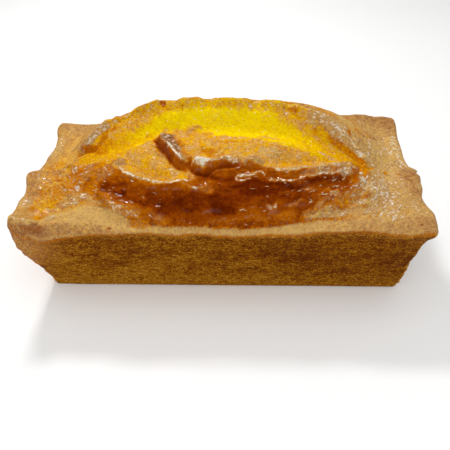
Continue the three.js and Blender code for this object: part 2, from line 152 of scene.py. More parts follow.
def monotone(ys, levels, y):
    """Monotone cubic across the loaf. ys: (k), levels: (n, k), y: (n)."""
    ys = np.asarray(ys, float)
    step = np.diff(ys)
    d = np.diff(levels, axis=1) / step
    m = np.empty_like(levels)
    m[:, 0], m[:, -1] = d[:, 0], d[:, -1]
    w1 = 2 * step[1:] + step[:-1]
    w2 = step[1:] + 2 * step[:-1]
    same = d[:, :-1] * d[:, 1:] > 0
    safe0, safe1 = np.where(same, d[:, :-1], 1), np.where(same, d[:, 1:], 1)
    m[:, 1:-1] = np.where(same, (w1 + w2) / (w1 / safe0 + w2 / safe1), 0)
    y = np.clip(y, ys[0], ys[-1])
    i = np.clip(np.searchsorted(ys, y, side="right") - 1, 0, len(ys) - 2)
    n = np.arange(len(y))
    h, t = step[i], (y - ys[i]) / step[i]
    return (
        levels[n, i] * (2 * t**3 - 3 * t**2 + 1)
        + m[n, i] * h * (t**3 - 2 * t**2 + t)
        + levels[n, i + 1] * (-2 * t**3 + 3 * t**2)
        + m[n, i + 1] * h * (t**3 - t**2)
    )


def curve(points, n=64):
    """A smooth curve through a few plan points, as n short steps of even length."""
    p = np.asarray(points, float)
    p = np.vstack([2 * p[0] - p[1], p, 2 * p[-1] - p[-2]])
    out = []
    for k in range(1, len(p) - 2):
        p0, p1, p2, p3 = p[k - 1 : k + 3]
        t0 = 0.0
        t1 = t0 + max(np.linalg.norm(p1 - p0), 1e-6) ** 0.5
        t2 = t1 + max(np.linalg.norm(p2 - p1), 1e-6) ** 0.5
        t3 = t2 + max(np.linalg.norm(p3 - p2), 1e-6) ** 0.5
        t = np.linspace(t1, t2, 24, endpoint=False)[:, None]
        a1 = (t1 - t) / (t1 - t0) * p0 + (t - t0) / (t1 - t0) * p1
        a2 = (t2 - t) / (t2 - t1) * p1 + (t - t1) / (t2 - t1) * p2
        a3 = (t3 - t) / (t3 - t2) * p2 + (t - t2) / (t3 - t2) * p3
        b1 = (t2 - t) / (t2 - t0) * a1 + (t - t0) / (t2 - t0) * a2
        b2 = (t3 - t) / (t3 - t1) * a2 + (t - t1) / (t3 - t1) * a3
        out.append((t2 - t) / (t2 - t1) * b1 + (t - t1) / (t2 - t1) * b2)
    out = np.vstack(out + [p[-2:-1]])
    run = np.concatenate([[0], np.cumsum(np.linalg.norm(np.diff(out, axis=0), axis=1))])
    at = np.linspace(0, run[-1], n + 1)
    return np.stack([np.interp(at, run, out[:, 0]), np.interp(at, run, out[:, 1])], 1)


def near(steps, x, y, reach=None):
    """For each point: distance to the curve, side (1 squarely behind, -1 in front, between at its ends), how far
    along (0 to 1), and the unit direction from the curve to its back. Points out of reach get a large distance."""
    n = len(x)
    d = np.full(n, 1e3)
    side, along, nx, ny = np.zeros(n), np.zeros(n), np.zeros(n), np.ones(n)
    pick = np.arange(n)
    if reach is not None:
        lo, hi = steps.min(0) - reach, steps.max(0) + reach
        pick = np.nonzero((x > lo[0]) & (x < hi[0]) & (y > lo[1]) & (y < hi[1]))[0]
    if not len(pick):
        return d, side, along, nx, ny
    px, py = x[pick], y[pick]
    best = np.full(len(pick), 1e6)
    b_side, b_along = np.zeros(len(pick)), np.zeros(len(pick))
    b_nx, b_ny = np.zeros(len(pick)), np.ones(len(pick))
    count = len(steps) - 1
    for k in range(count):
        a, u = steps[k], steps[k + 1] - steps[k]
        length = float(np.hypot(*u))
        t = np.clip(((px - a[0]) * u[0] + (py - a[1]) * u[1]) / length**2, 0, 1)
        dx, dy = px - a[0] - u[0] * t, py - a[1] - u[1] * t
        dist = np.hypot(dx, dy)
        m = dist < best
        best = np.where(m, dist, best)
        s = (u[0] * dy - u[1] * dx) / length
        b_side = np.where(m, s / np.maximum(dist, 1e-6), b_side)
        b_along = np.where(m, (k + t) / count, b_along)
        b_nx = np.where(m, -u[1] / length, b_nx)
        b_ny = np.where(m, u[0] / length, b_ny)
    d[pick], side[pick], along[pick], nx[pick], ny[pick] = best, b_side, b_along, b_nx, b_ny
    return d, side, along, nx, ny


def signed(steps, x, y):
    """Signed distance to a long curve: above zero behind it."""
    d, side, *_ = near(steps, x, y)
    return d * np.sign(side)


# ------------------------------------------------------------------------------------------------ the dome and rim
def dome_z(x, y):
    levels = []
    for _, shelf, peak, left, right in LINES:
        dx = x - DOME_MIDDLE
        s = np.where(dx < 0, np.abs(dx) / (DOME_REACH_LEFT * left), dx / (DOME_REACH_RIGHT * right))
        s = np.clip(s, 0, 1)
        share = (1 - s ** np.where(dx < 0, 2.5, 3.5)) ** 1.25
        levels.append(lerp(shelf, peak, share))
    return monotone([line[0] for line in LINES], np.stack(levels, 1), y)


def rim_left(y):
    return 6 * bell(y, -9, 8) - 3 * bell(y, 19, 13) + 3.5 * bell(y, 52, 10) + 3.5 * bell(y, -32, 9) + 5 * bell(y, -51, 9)


def rim_right(y):
    return 4.5 * bell(y, -8, 6) - 2.5 * bell(y, 20, 16) + 4.5 * bell(y, 52, 8) - 1.5 * bell(y, -33, 7) + 1.5 * bell(y, -51, 8)


def rim_back(x):
    return 3 + 7.6 * bell(x, 101, 21) + bell(x, -115, 12) + 1.2 * bell(x, 116, 4)


def rim_front(x):
    return 4.5 * bell(x, -120, 9) + 1.5 * bell(x, 62, 30) + 2.6 * bell(x, 88, 19) + 2 * bell(x, 122, 6)


def edge_drop(side, q):
    if side == "front":
        drop = 2.8 + 8.4 * bell(q, -112, 14) + 1.9 * bell(q, -88, 9) - 2.0 * bell(q, -56, 13) + 0.9 * bell(q, -26, 5) + 0.7 * bell(q, 14, 30)
        return drop - bell(q, 30, 7) + bell(q, 47, 8) - 0.8 * bell(q, 69, 7) - 2.8 * bell(q, 84, 18) - bell(q, 104, 10)
    if side == "back":
        return 3 + 0 * q
    if side == "left":
        return 3 + 4 * bell(q, -54, 8)
    return 2.6 + 0 * q


def bulge_left(y):
    return 2.0 * bell(y, -9, 8) - 0.2 * bell(y, 18, 9) - 3.4 * smooth(20, 32, y) + 2.0 * smooth(38, 49, y) + 0.8 * bell(y, -50, 7)


def bulge_right(y):
    return 2.4 * bell(y, 0.5, 4.6) + 3.2 * bell(y, 5.2, 2.6) + 0.6 * bell(y, -8, 4) + 1.2 * bell(y, -16.5, 4.5) - 0.6 * bell(y, 20, 11) - 1.0 * bell(y, 44, 8) - 1.4 * bell(y, -25, 6) + 2.2 * bell(y, -38, 8) - 0.3 * bell(y, -52, 4)


def bulge_front(x):
    return 0.7 * np.sin(x / 13) + 0.5 * np.sin(x / 5.3 + 1)


def bulge_back(x):
    return 0.8 * np.sin(x / 11 + 2) + 1.5 * bell(x, 100, 18)


# ------------------------------------------------------------------------------------------------ crack, lips, folds
# name: height, front flank, back flank, lean (how far the crest hangs over its front), plan points.
# The first rows stand in the CAD solid too; the rest are too fine for it.
FEATURES = {
    "crack": (-3.2, 7, 6, 0, [(-96, -1), (-70, -1), (-40, 5), (0, 6), (40, 2), (70, -7), (93, -10)]),
    "back_lip": (5.0, 3.0, 3.4, 1.4, [(-104, 10), (-92, 17), (-80, 20), (-62, 20), (-30, 20), (10, 19), (45, 17), (70, 12), (84, 6)]),
    "front_lip": (2.9, 3.2, 2.2, 0.9, [(-63.6, -19), (-61.6, -22.4), (-59, -24.9), (-55.8, -27.3), (-51.2, -30.2), (-45.5, -32.5), (-38.5, -34.5), (-31.5, -35.4), (-23, -35), (-16, -32.5)]),
    "front_gap": (-2.2, 2.2, 4.2, 0, [(-63, -5), (-59, -15), (-50, -25), (-40, -30), (-26, -31.5)]),
    "flap": (3.8, 2.3, 3.2, 1.1, [(-38.6, 0.4), (-37.6, -4.0), (-34.8, -9.6), (-31, -13.8), (-27.4, -18), (-23.4, -21.6), (-18.6, -24.2)]),
    "flap_back": (2.8, 3.6, 2.8, 0.4, [(-38.4, 3.4), (-34.6, -0.4), (-30.8, -5.4), (-27.2, -10.4), (-24.4, -15)]),
    "flap_foot": (-2.4, 3.4, 1.9, 0, [(-41.2, -4), (-39.8, -8.8), (-36.8, -15), (-31.6, -20), (-25.6, -23.8), (-20.4, -27.6)]),
    "mid_lip": (3.2, 2.3, 3.4, 0.8, [(-17.4, -24), (-12.6, -23.8), (-8, -23.8), (-4, -23), (0, -22.2), (4, -21.6), (8, -22.2), (12.5, -24)]),
    "mid_crease": (-2.2, 2.0, 2.0, 0, [(-19, -27.8), (-13.6, -29), (-9.4, -29.2), (-6.2, -27.8), (-3, -26.6), (0.5, -25.8), (5.3, -25.1), (9.6, -24.6), (12.8, -23.6)]),
    "knob": (2.4, 2.0, 2.6, 0.6, [(12.4, -24.6), (15.2, -22.8), (19.2, -21.4), (22.8, -21.9), (25.2, -24.6)]),
    "right_lip": (3.2, 2.8, 2.6, 1.0, [(20, -25.5), (28, -28), (38, -28), (46, -26.2), (55, -24.6), (63, -21.5), (71, -19), (78, -16), (83, -12.6)]),
    "right_gap": (-1.6, 2, 4, 0, [(24, -20), (38, -22), (54, -18.5), (68, -13), (76, -7)]),
    "fold_1": (2.0, 2.4, 1.5, 0.7, [(-9.6, -32), (-7, -30.4), (-4, -28.6), (0, -27.5), (4.4, -26.9), (8, -26.4), (11.4, -25.4), (14.6, -24.5)]),
    "fold_2": (2.4, 2.6, 1.7, 0.9, [(26, -32.6), (31, -33.4), (38, -33.8), (44, -32.2), (50, -30.4), (57, -27.9), (63, -26.2), (70, -23.6), (76, -21), (81, -16.5)]),
    "fold_3": (1.9, 2.4, 2.2, 0.5, [(-79, -29), (-73, -36), (-65, -41.6), (-57, -44.6), (-48, -46.2), (-38, -46.8), (-28, -47.4)]),
    "fold_4": (1.6, 2.4, 3, 0.5, [(-24, -46.5), (-8, -44.8), (8, -44.6), (28, -43.6), (46, -41), (66, -36.6), (80, -29), (88, -22)]),
    "foot_fold": (-1.7, 3.4, 2.8, 0, [(-86, -34), (-76, -40), (-62, -46.6), (-36, -50.2), (0, -51.8), (30, -50), (60, -45.5), (88, -36)]),
    "left_hollow": (-3, 9, 8, 0, [(-116, -20), (-113, -34), (-106, -43)]),
    "right_crease": (-1.4, 3, 3, 0, [(88, -40), (98, -33), (108, -30)]),
    "right_ridge": (1.6, 3, 3, 0, [(84, -32), (95, -27), (104, -18)]),
    "left_lip": (3.2, 3.0, 3.8, 1.3, [(-101, 11), (-95, 14.6), (-88.5, 16.4), (-80, 18.4), (-68, 20.5)]),
    # finer than the CAD solid
    "left_tear": (-2.4, 2.4, 2.0, 0, [(-100.5, 9.6), (-95.5, 9.4), (-90.5, 8), (-85.5, 6.8), (-81, 8), (-76, 11)]),
    "neck_gap": (-1.8, 1.5, 1.3, 0, [(-19.6, -22.6), (-18.6, -24.6), (-18.0, -26.6), (-16.6, -28.4)]),
    "ledge": (0.9, 1.0, 1.2, 0.2, [(-43.6, -7.6), (-41.6, -11), (-38.8, -14.4), (-35.6, -17.2)]),
    "curl": (1.0, 0.9, 1.2, 0.3, [(-5.4, -20.4), (-4.6, -17.2), (-2, -14.6), (1.4, -13), (4.6, -12.4)]),
    "flap_end": (1.2, 1.1, 1.6, 0.4, [(-27, -20.6), (-24, -20.4), (-20.5, -20), (-16, -20.8)]),
    "bump_gap": (-1.7, 1.3, 1.3, 0, [(12, -25.2), (16, -25.6), (20, -26.2), (25, -27.4), (29, -30)]),
    "arch": (1.3, 1.8, 2.4, 0.2, [(-22.6, 1.4), (-19.6, 4.2), (-16, 6.2), (-12.6, 5.6)]),
    "inner_gap": (-1.2, 1.3, 1.5, 0, [(-13, -15.2), (-9.6, -16.2), (-6.6, -18.6), (-2.6, -19.6), (2, -19.2)]),
    "inner_ridge": (0.9, 0.9, 1.1, 0.3, [(-5, -19.6), (-2.4, -18.8), (0, -17), (2.8, -14.6), (6, -13.4)]),
    "inner_line": (-0.7, 1.0, 1.2, 0, [(-4, -8), (3, -9.6), (11, -9), (18, -10.4)]),
    "loop_up": (1.1, 0.8, 1.1, 0.3, [(8.4, -32.4), (11.1, -30.9), (14.7, -30.6), (18.3, -30.2), (21.9, -29.3), (24.7, -29.5), (26.4, -31)]),
    "loop_low": (1.0, 0.9, 0.8, 0.2, [(8.4, -32.5), (10.8, -33.6), (13.8, -33.6), (17.4, -32.2)]),
    "loop_gap": (-0.7, 0.7, 0.7, 0, [(10, -32.3), (13, -32.1), (16, -31.6)]),
    "lip_2": (1.2, 1.0, 1.2, 0.4, [(-23.4, -36), (-20.3, -37), (-15.8, -38), (-12.2, -38), (-9.3, -37.4), (-7.2, -35.8)]),
    "lip_3": (0.6, 0.8, 0.9, 0.2, [(-6, -37.2), (-2, -38), (3, -37.8), (7, -38.6)]),
    "right_1": (0.9, 0.8, 1.0, 0.3, [(33, -31.4), (36.5, -31), (40.1, -30.2), (44, -29.4)]),
    "right_2": (1.0, 0.8, 1.0, 0.3, [(51, -26.9), (57, -24.9), (61, -23.2), (66, -19.8)]),
    "right_3": (1.0, 0.9, 1.1, 0.3, [(49, -37.8), (51, -37), (53.5, -35.8)]),
    "right_4": (0.7, 0.8, 0.9, 0.2, [(33, -40), (37.4, -39.2), (41, -38.2), (45, -37)]),
    "right_5": (1.2, 0.9, 1.1, 0.4, [(63.5, -38.2), (66.5, -36.8), (70, -34.6), (73, -32)]),
    "right_6": (1.1, 0.9, 1.1, 0.4, [(73, -36.2), (76, -32.6), (80, -28), (85, -23.6)]),
    "right_7": (0.9, 0.8, 1.0, 0.3, [(77, -27.2), (80.5, -24.6), (84, -23)]),
    "right_8": (1.3, 1.1, 1.3, 0.4, [(25, -42.6), (28, -45.2), (30, -45.6), (33, -45)]),
    "right_9": (1.0, 0.9, 1.0, 0.3, [(39, -44.6), (42, -44), (45.5, -43.2), (49.5, -41.8)]),
    "right_10": (1.0, 0.9, 1.2, 0.3, [(49, -44.8), (54, -43.8), (58, -42.4), (61.5, -40.4), (65.5, -39.2)]),
    "right_11": (0.8, 0.9, 1.0, 0.2, [(54, -46), (61, -43.8), (67, -41.4), (73, -37.6)]),
    "right_12": (0.8, 0.9, 1.1, 0.2, [(66, -45.4), (74, -42.6), (82, -39.6), (90, -35)]),
    "right_13": (0.8, 0.8, 1.0, 0.2, [(80, -34.6), (85, -30.6), (89, -26)]),
    "low_1": (0.8, 0.7, 0.9, 0.3, [(-77, -31), (-74, -35.4), (-70, -39.2), (-65, -42.4), (-58, -44.9)]),
    "low_2": (0.7, 0.7, 0.9, 0.2, [(-66, -43), (-61, -45.2), (-55, -46.8), (-48, -47.8)]),
    "low_3": (0.7, 0.8, 0.9, 0.2, [(-44, -47), (-38, -47.2), (-31, -47.8)]),
    "low_4": (0.9, 0.8, 1.0, 0.2, [(-27, -49), (-23.4, -49.2), (-20.4, -49)]),
    "end_lip": (2.4, 1.8, 3.8, 1.1, [(57, 12.4), (66, 10.4), (74, 8.4), (81, 5.6), (88, 2.2), (93.6, -0.6), (96, -4)]),
    "end_gap": (-2.0, 2.4, 1.6, 0, [(57, 7.4), (66, 5.4), (74, 2.8), (81, -0.8), (87, -4.8), (92, -9)]),
    "crust_end": (-1.3, 1.8, 2.6, 0, [(82, -10.5), (87, -13.4), (89, -18), (88.4, -23.5), (85.4, -29.6), (81, -34.6)]),
    "crack_end": (-1.4, 1.8, 1.6, 0, [(82, -12), (88, -10.6), (94, -6.4), (98, -2)]),
    "left_curl": (1.5, 1.3, 1.8, 0.5, [(-109.5, -5), (-108.6, -1), (-105.8, 1.6), (-101.6, 0.4), (-97.4, -3.6), (-93, -8.8)]),
    "left_curl_in": (-1.0, 1.4, 1.2, 0, [(-107, -5.4), (-104.6, -2.4), (-100.6, -3.6), (-96.6, -8)]),
    "left_fold_1": (1.2, 1.6, 1.6, 0.2, [(-112, -12), (-104, -17), (-97, -26), (-92, -35)]),
    "left_fold_2": (-1.0, 1.4, 1.6, 0, [(-106, -9), (-99, -14), (-93, -22), (-88, -30)]),
    "left_fold_3": (1.0, 1.2, 1.4, 0.3, [(-90, -12), (-86, -18), (-81, -24), (-77, -30)]),
    "left_fold_4": (0.9, 1.2, 1.4, 0.2, [(-98, -24), (-93, -30), (-86, -35), (-78, -38)]),
    "corner_roll": (2.4, 2.2, 3.0, 0.4, [(-124, -40), (-119.5, -47.4), (-111, -51), (-98, -52), (-84, -49)]),
    "corner_dip": (-1.6, 1.8, 2.4, 0, [(-121.5, -37), (-116, -44), (-107, -47.4), (-94, -47.4)]),
    "rolled": (1.0, 1.4, 1.5, 0.3, [(-126, -46), (-124.6, -50), (-119.4, -51.2), (-111.6, -49.8), (-104.6, -45.4), (-98, -43.6)]),
}
# how gently a curve starts and ends, as shares of its length
ENDS = {
    "rolled": (0.12, 0.2),
    "flap": (0.2, 0.3),
    "knob": (0.3, 0.3),
    "front_lip": (0.16, 0.2),
    "mid_lip": (0.1, 0.2),
    "right_lip": (0.16, 0.14),
    "fold_2": (0.2, 0.12),
    "back_lip": (0.2, 0.14),
    "left_lip": (0.12, 0.5),
    "neck_gap": (0.2, 0.2),
    "corner_roll": (0.1, 0.4),
}
SWELLINGS = [
    ((14, -11), (52, 9), 3.4),
    ((-52, -14), (14, 11), 1.6),
    ((-5, -41), (55, 7), 1.8),
    ((-78, -16), (9, 12), 2.4),
    ((-104, 20), (13, 16), -1.6),
    ((108, 12), (13, 22), -1.2),
    ((30, 36), (16, 9), -1.4),
    ((-40, 36), (26, 10), 1.6),
    ((-11.5, -24), (4.4, 2.6), 1.3),
    ((-62.8, -17.4), (3.4, 3.0), 2.2),
    ((77, -19.5), (6.5, 6), 1.8),
    ((-41.5, 24), (4.5, 6), 1.2),
    ((-32.5, 24), (4, 6), -0.9),
    ((35.5, 26), (4, 6), 0.7),
    ((-65, 21), (8, 7), -1.5),
    ((60, 33), (26, 9), 1.4),
    ((-38.8, -0.6), (3.0, 2.8), 1.6),
    ((81, -13.5), (5, 4), 1.6),
    ((-5, -26), (7, 1.8), 0.6),
    ((34, -15), (7, 5), 1.2),
    ((2, -12), (7, 4), -0.8),
    ((-44, -16), (5, 5), -0.8),
    ((52, -14), (6, 4), 0.7),
]
PATHS = {name: curve(f[4]) for name, f in FEATURES.items()}

# The glazed crust lies in front of CRUST_LIP and behind CRUST_FOOT.
CRUST_LIP = curve(
    [(-100, -2), (-91, -5.6), (-83.6, -10), (-78, -13), (-73.4, -15.8), (-69.4, -17), (-65.6, -20.4), (-62.4, -22.6), (-59.4, -25.6)]
    + [(-56, -28.2), (-51, -31.2), (-45.5, -33.6), (-38.4, -35.6), (-30, -36.3), (-22, -34.8), (-18.4, -30), (-17, -25), (-11, -23.6), (0, -22.4), (8, -22), (16, -22.8), (22, -24), (28, -28.4)]
    + [(38, -28.4), (47, -26.4), (57, -24), (64, -21), (72, -18), (79, -14), (84, -10.5), (92, -6)],
    180,
)
CRUST_FOOT = curve(
    [(-106, -18), (-94, -25), (-85, -30.5), (-79, -35), (-72, -39.4), (-64, -42.4), (-56, -44.7), (-47.7, -47.3), (-36, -49), (-21, -49.9)]
    + [(-3, -50.2), (17, -49.8), (35, -47.8), (46.5, -45.8), (58, -43.6), (70, -39.2), (80, -32.4), (86, -25.7), (91, -19), (96, -12)],
    140,
)
# the fine folds of the glaze run along this line
FLOW_LINE = curve(
    [(-112, 22), (-116, 8), (-114, -6), (-106, -18), (-94, -27), (-85, -32), (-72, -39.4), (-56, -44.7), (-36, -49), (-21, -49.9), (-3, -50.2)]
    + [(17, -49.8), (35, -47.8), (58, -43.6), (70, -39.2), (80, -32.4), (88, -24), (96, -12), (101, 2), (101, 16)],
    160,
)
DARK_CORE = curve([(-70, -33.5), (-57, -37.5), (-42, -42.5), (-20, -44), (0, -41.5), (15, -36.5), (30, -37), (45, -36), (56, -32.5), (68, -27.5)], 72)


# where the broken edge behind the split dips: place along the loaf, depth as a share, half width
NOTCHES = [(-38, 0.6, 2.4), (-31, 0.35, 3.0), (-9, 0.4, 4.0), (22, 0.6, 3.4), (42, 0.45, 4.0), (52, 0.2, 3.0), (-60, 0.3, 3.0), (-74, 0.3, 2.2), (-66.5, 0.45, 3.2)]


def torn_edge(x):
    keep = 1 + 0 * x
    for at, depth, half in NOTCHES:
        keep = keep - depth * bell(x, at, half)
    return keep + 0.05 * np.sin(x / 2.3) * np.sin(x / 6.1)


def top_shape(x, y):
    """Level of the top, and how far each point hangs forward, before the fine noise."""
    p = np.stack([x, y, 0 * x], 1)
    # the curves are a little unsteady, as dough is
    wx = x + 0.7 * noise(p, 9, 11) + 0.5 * noise(p, 3.6, 12) + 0.25 * noise(p, 1.8, 15)
    wy = y + 0.7 * noise(p, 9, 13) + 0.5 * noise(p, 3.6, 14) + 0.25 * noise(p, 1.8, 16)
    edge = smooth(0, 10, np.minimum(np.minimum(y + B, B - y), np.minimum(x + A, A - x)))
    wx, wy = lerp(x, wx, edge), lerp(y, wy, edge)
    d = {"front": y + B, "back": B - y, "left": x + A, "right": A - x}
    z = dome_z(x, y)
    close = {k: np.exp(-((np.maximum(q, 0) / 9) ** 2)) for k, q in d.items()}
    z = z + rim_left(y) * close["left"] + rim_right(y) * close["right"]
    z = z + rim_back(x) * close["back"] * (1 - 0.6 * close["left"]) + rim_front(x) * close["front"] * 0.8
    dx, dy = np.zeros(len(x)), np.zeros(len(x))
    uneven = 1 + 0.28 * noise(p, 5.0, 17) + 0.18 * noise(p, 2.2, 18)
    for name, (height, front, back, lean, _) in FEATURES.items():
        dist, side, along, nx, ny = near(PATHS[name], wx, wy, 3 * max(front, back))
        width = lerp(front, back, 0.5 + 0.5 * side)
        s = dist / width
        first, last = ENDS.get(name, (0.16, 0.16))
        fade = smooth(0, first, along) * smooth(1, 1 - last, along) * 0.94 + 0.06
        shape = fade * np.exp(-s * s) * (dist < 1e3)
        if name == "back_lip":
            shape = shape * torn_edge(wx)
        elif abs(height) > 1.6 and name != "crack":
            shape = shape * uneven
        z = z + height * shape
        if lean:
            dx, dy = dx - nx * lean * shape, dy - ny * lean * shape
    for (cx, cy), (rx, ry), height in SWELLINGS:
        z = z + height * bell(wx, cx, rx) * bell(wy, cy, ry)
    front_reach = 2.4 + 4.5 * bell(x, -108, 18)
    drops = [
        (edge_drop("front", x) - 2.2) * np.exp(-np.maximum(d["front"], 0) / front_reach),
        edge_drop("back", x) * np.exp(-np.maximum(d["back"], 0) / 2.6),
        edge_drop("left", y) * np.exp(-np.maximum(d["left"], 0) / 2.4),
        edge_drop("right", y) * np.exp(-np.maximum(d["right"], 0) / 2.2),
    ]
    return z - np.max(drops, axis=0), dx, dy


def rounded(x, y, a, b, radius):
    """Turns the square corners of a grid into quarter discs."""
    ax, ay = np.abs(x) - (a - radius), np.abs(y) - (b - radius)
    corner = (ax > 0) & (ay > 0)
    u, v = ax / radius, ay / radius
    cx = np.sign(x) * (a - radius + radius * u * np.sqrt(np.clip(1 - v * v / 2, 0, 1)))
    cy = np.sign(y) * (b - radius + radius * v * np.sqrt(np.clip(1 - u * u / 2, 0, 1)))
    return np.where(corner, cx, x), np.where(corner, cy, y)


def plan_of(s, t):
    x, y = A * s, B * t
    r = np.where(
        t < 0,
        np.where(s < 0, CORNER_RADIUS["fl"], CORNER_RADIUS["fr"]),
        np.where(s < 0, CORNER_RADIUS["bl"], CORNER_RADIUS["br"]),
    )
    x, y = rounded(x, y, A, B, r)
    close = lambda q: np.exp(-np.maximum(q, 0) / 9)
    px = x - bulge_left(y) * close(x + A) + bulge_right(y) * close(A - x)
    py = y - bulge_front(x) * close(y + B) * 0.8 + bulge_back(x) * close(B - y) * 0.8
    return px, py, x, y


def wall_out(x, y, h):
    """How far the wall stands out of the straight line from base to rim, at height share h."""
    corner = lambda cx, cy: bell(x, cx, 13) * bell(y, cy, 11)
    out = 0.5 * np.sin(x / 17 + 1.3) * np.sin(np.pi * h) + 0.4 * np.sin(y / 9 + x / 40) * np.sin(np.pi * h)
    out = out + corner(-A, -B) * (4.2 * smooth(0.26, 0.74, h) * smooth(1.02, 0.7, h) + 0.6 * smooth(0.7, 1, h) - 1.6 * bell(h, 0.1, 0.16))
    flare = lambda dent, lip: -dent * bell(h, 0.74, 0.16) + lip * bell(h, 0.95, 0.07)
    out = out + corner(A, -B) * (flare(2.6, 1.6) - 2.2 * bell(h, 0.46, 0.16))
    out = out + corner(A, B) * flare(1.6, 1.2) + corner(-A, B) * flare(1.4, 1)
    return out


# ------------------------------------------------------------------------------------------------ the mesh
def spread(cells, places, density):
    """Shares from -1 to 1, closer together where density is higher."""
    at = np.linspace(-1, 1, 2001)
    run = np.concatenate([[0], np.cumsum(np.interp((at[1:] + at[:-1]) / 2, places, density))])
    return np.interp(np.linspace(0, run[-1], cells + 1), run, at)


column = spread(NX, [-1, -0.93, -0.8, 0.75, 0.85, 0.97, 1], [1.0, 0.85, 1.0, 1.0, 0.8, 0.8, 1.0])
row = spread(NY, [-1, -0.95, -0.86, -0.2, 0.1, 0.45, 0.7, 1], [1.1, 1.0, 1.45, 1.35, 1.0, 0.9, 0.62, 0.7])
gs, gt = np.meshgrid(column, row)
gs, gt = gs.ravel(), gt.ravel()
px, py, plan_x, plan_y = plan_of(gs, gt)
top_z, lean_x, lean_y = top_shape(plan_x, plan_y)
top = np.stack([px + lean_x, py + lean_y, top_z], 1)
ids = np.arange(len(top)).reshape(NY + 1, NX + 1)

quads = [np.stack([ids[:-1, :-1], ids[:-1, 1:], ids[1:, 1:], ids[1:, :-1]], -1).reshape(-1, 4)]
loop = np.concatenate([ids[0, :-1], ids[:-1, -1], ids[-1, :0:-1], ids[:0:-1, 0]])
n_loop = len(loop)

# rows of the wall: close together under the rim and at the foot
rows = 0.022 + (1 - 0.022) * (1 - (1 - np.linspace(0, 1, WALL_ROWS + 1)) ** 1.12)[:-1]
bx, by = rounded(BASE_LENGTH / 2 * gs[loop], BASE_WIDTH / 2 * gt[loop], BASE_LENGTH / 2, BASE_WIDTH / 2, BASE_CORNER_RADIUS)
rim = top[loop]
nx_ = rim[:, 0] * np.abs(rim[:, 0]) ** 2 / A**4
ny_ = rim[:, 1] * np.abs(rim[:, 1]) ** 2 / B**4
length = np.hypot(nx_, ny_)
nx_, ny_ = nx_ / length, ny_ / length

points = [top]
kinds = [np.zeros(len(top))]  # 0 top, 1 wall, 2 base
under = [np.zeros(len(top))]  # how far below the rim
plan = [np.stack([plan_x, plan_y], 1)]
upper = loop
start = len(top)
for h in rows[::-1]:
    out = wall_out(rim[:, 0], rim[:, 1], h)
    ring = np.stack([lerp(bx, rim[:, 0], h) + nx_ * out, lerp(by, rim[:, 1], h) + ny_ * out, rim[:, 2] * h], 1)
    points.append(ring)
    kinds.append(np.full(n_loop, 1.0))
    under.append(rim[:, 2] * (1 - h))
    plan.append(np.stack([plan_x[loop], plan_y[loop]], 1))
    lower = start + np.arange(n_loop)
    start += n_loop
    quads.append(np.stack([lower, np.roll(lower, -1), np.roll(upper, -1), upper], -1))
    upper = lower
# the foot, then rings over the flat base to a small middle
shrink = 1 - BASE_CHAMFER / (BASE_LENGTH / 2), 1 - BASE_CHAMFER / (BASE_WIDTH / 2)
BASE_RINGS = [1.0, 0.86, 0.6, 0.3]
for k, inward in enumerate(BASE_RINGS):
    ring = np.stack([bx * shrink[0] * inward, by * shrink[1] * inward, 0 * bx], 1)
    points.append(ring)
    kinds.append(np.full(n_loop, 2.0))
    under.append(rim[:, 2])
    plan.append(ring[:, :2])
    lower = start + np.arange(n_loop)
    start += n_loop
    quads.append(np.stack([lower, np.roll(lower, -1), np.roll(upper, -1), upper], -1))
    upper = lower
P = np.vstack(points)
kind = np.concatenate(kinds)
plan = np.vstack(plan)
middle = len(P)
P = np.vstack([P, [[0, 0, 0]]])
kind = np.append(kind, 2.0)
under = np.append(np.concatenate(under), 60.0)
plan = np.vstack([plan, [[0, 0]]])
quads = np.vstack(quads)
tris = np.stack([np.roll(upper, -1), upper, np.full(n_loop, middle)], -1)


def normals_of(P):
    a, b, c, d = (P[quads[:, k]] for k in range(4))
    q = np.cross(c - a, d - b)
    n = np.zeros_like(P)
    for k in range(4):
        for axis in range(3):
            n[:, axis] += np.bincount(quads[:, k], q[:, axis], len(P))
    return n / np.maximum(np.linalg.norm(n, axis=1), 1e-9)[:, None]


# ------------------------------------------------------------------------------------------------ what each place is
x, y = plan[:, 0], plan[:, 1]
is_top = (kind == 0).astype(float)
is_wall = (kind == 1).astype(float)
is_base = (kind == 2).astype(float)
N0 = normals_of(P)
Q = P.copy()  # places that noise is read at

warp = np.stack([x, y, 0 * x], 1)
wx = x + 0.9 * fbm(warp, 8, 41) + 0.5 * noise(warp, 2.6, 42)
wy = y + 0.9 * fbm(warp, 8, 43) + 0.5 * noise(warp, 2.6, 44)

lip = signed(CRUST_LIP, wx, wy)
foot = signed(CRUST_FOOT, wx, wy)
flow_d, flow_side, flow_along, *_ = near(FLOW_LINE, wx, wy)
flow_u = flow_along * 250.0
flow_v = flow_d * np.sign(flow_side)
in_dome = np.clip((dome_z(np.clip(x, -A, A), np.clip(y, -B, B)) - 68) / 14, 0, 1)
core_d, core_side, *_ = near(DARK_CORE, wx, wy)
core = np.exp(-((core_d / (5.5 + 3.5 * smooth(-40, 10, wx) * smooth(0.2, -0.6, core_side))) ** 2))
crust = smooth(0.8, -0.6, lip) * smooth(-1.2, 1.6, foot) * smooth(-108, -90, wx) * smooth(97, 88, wx)

blot = fbm(Q, 7.5, 51, 3)  # patches of about 4 to 8 mm
speck = fbm(Q, 2.4, 52, 2)  # of about 1 to 2 mm
grain = noise(Q, 1.3, 53)

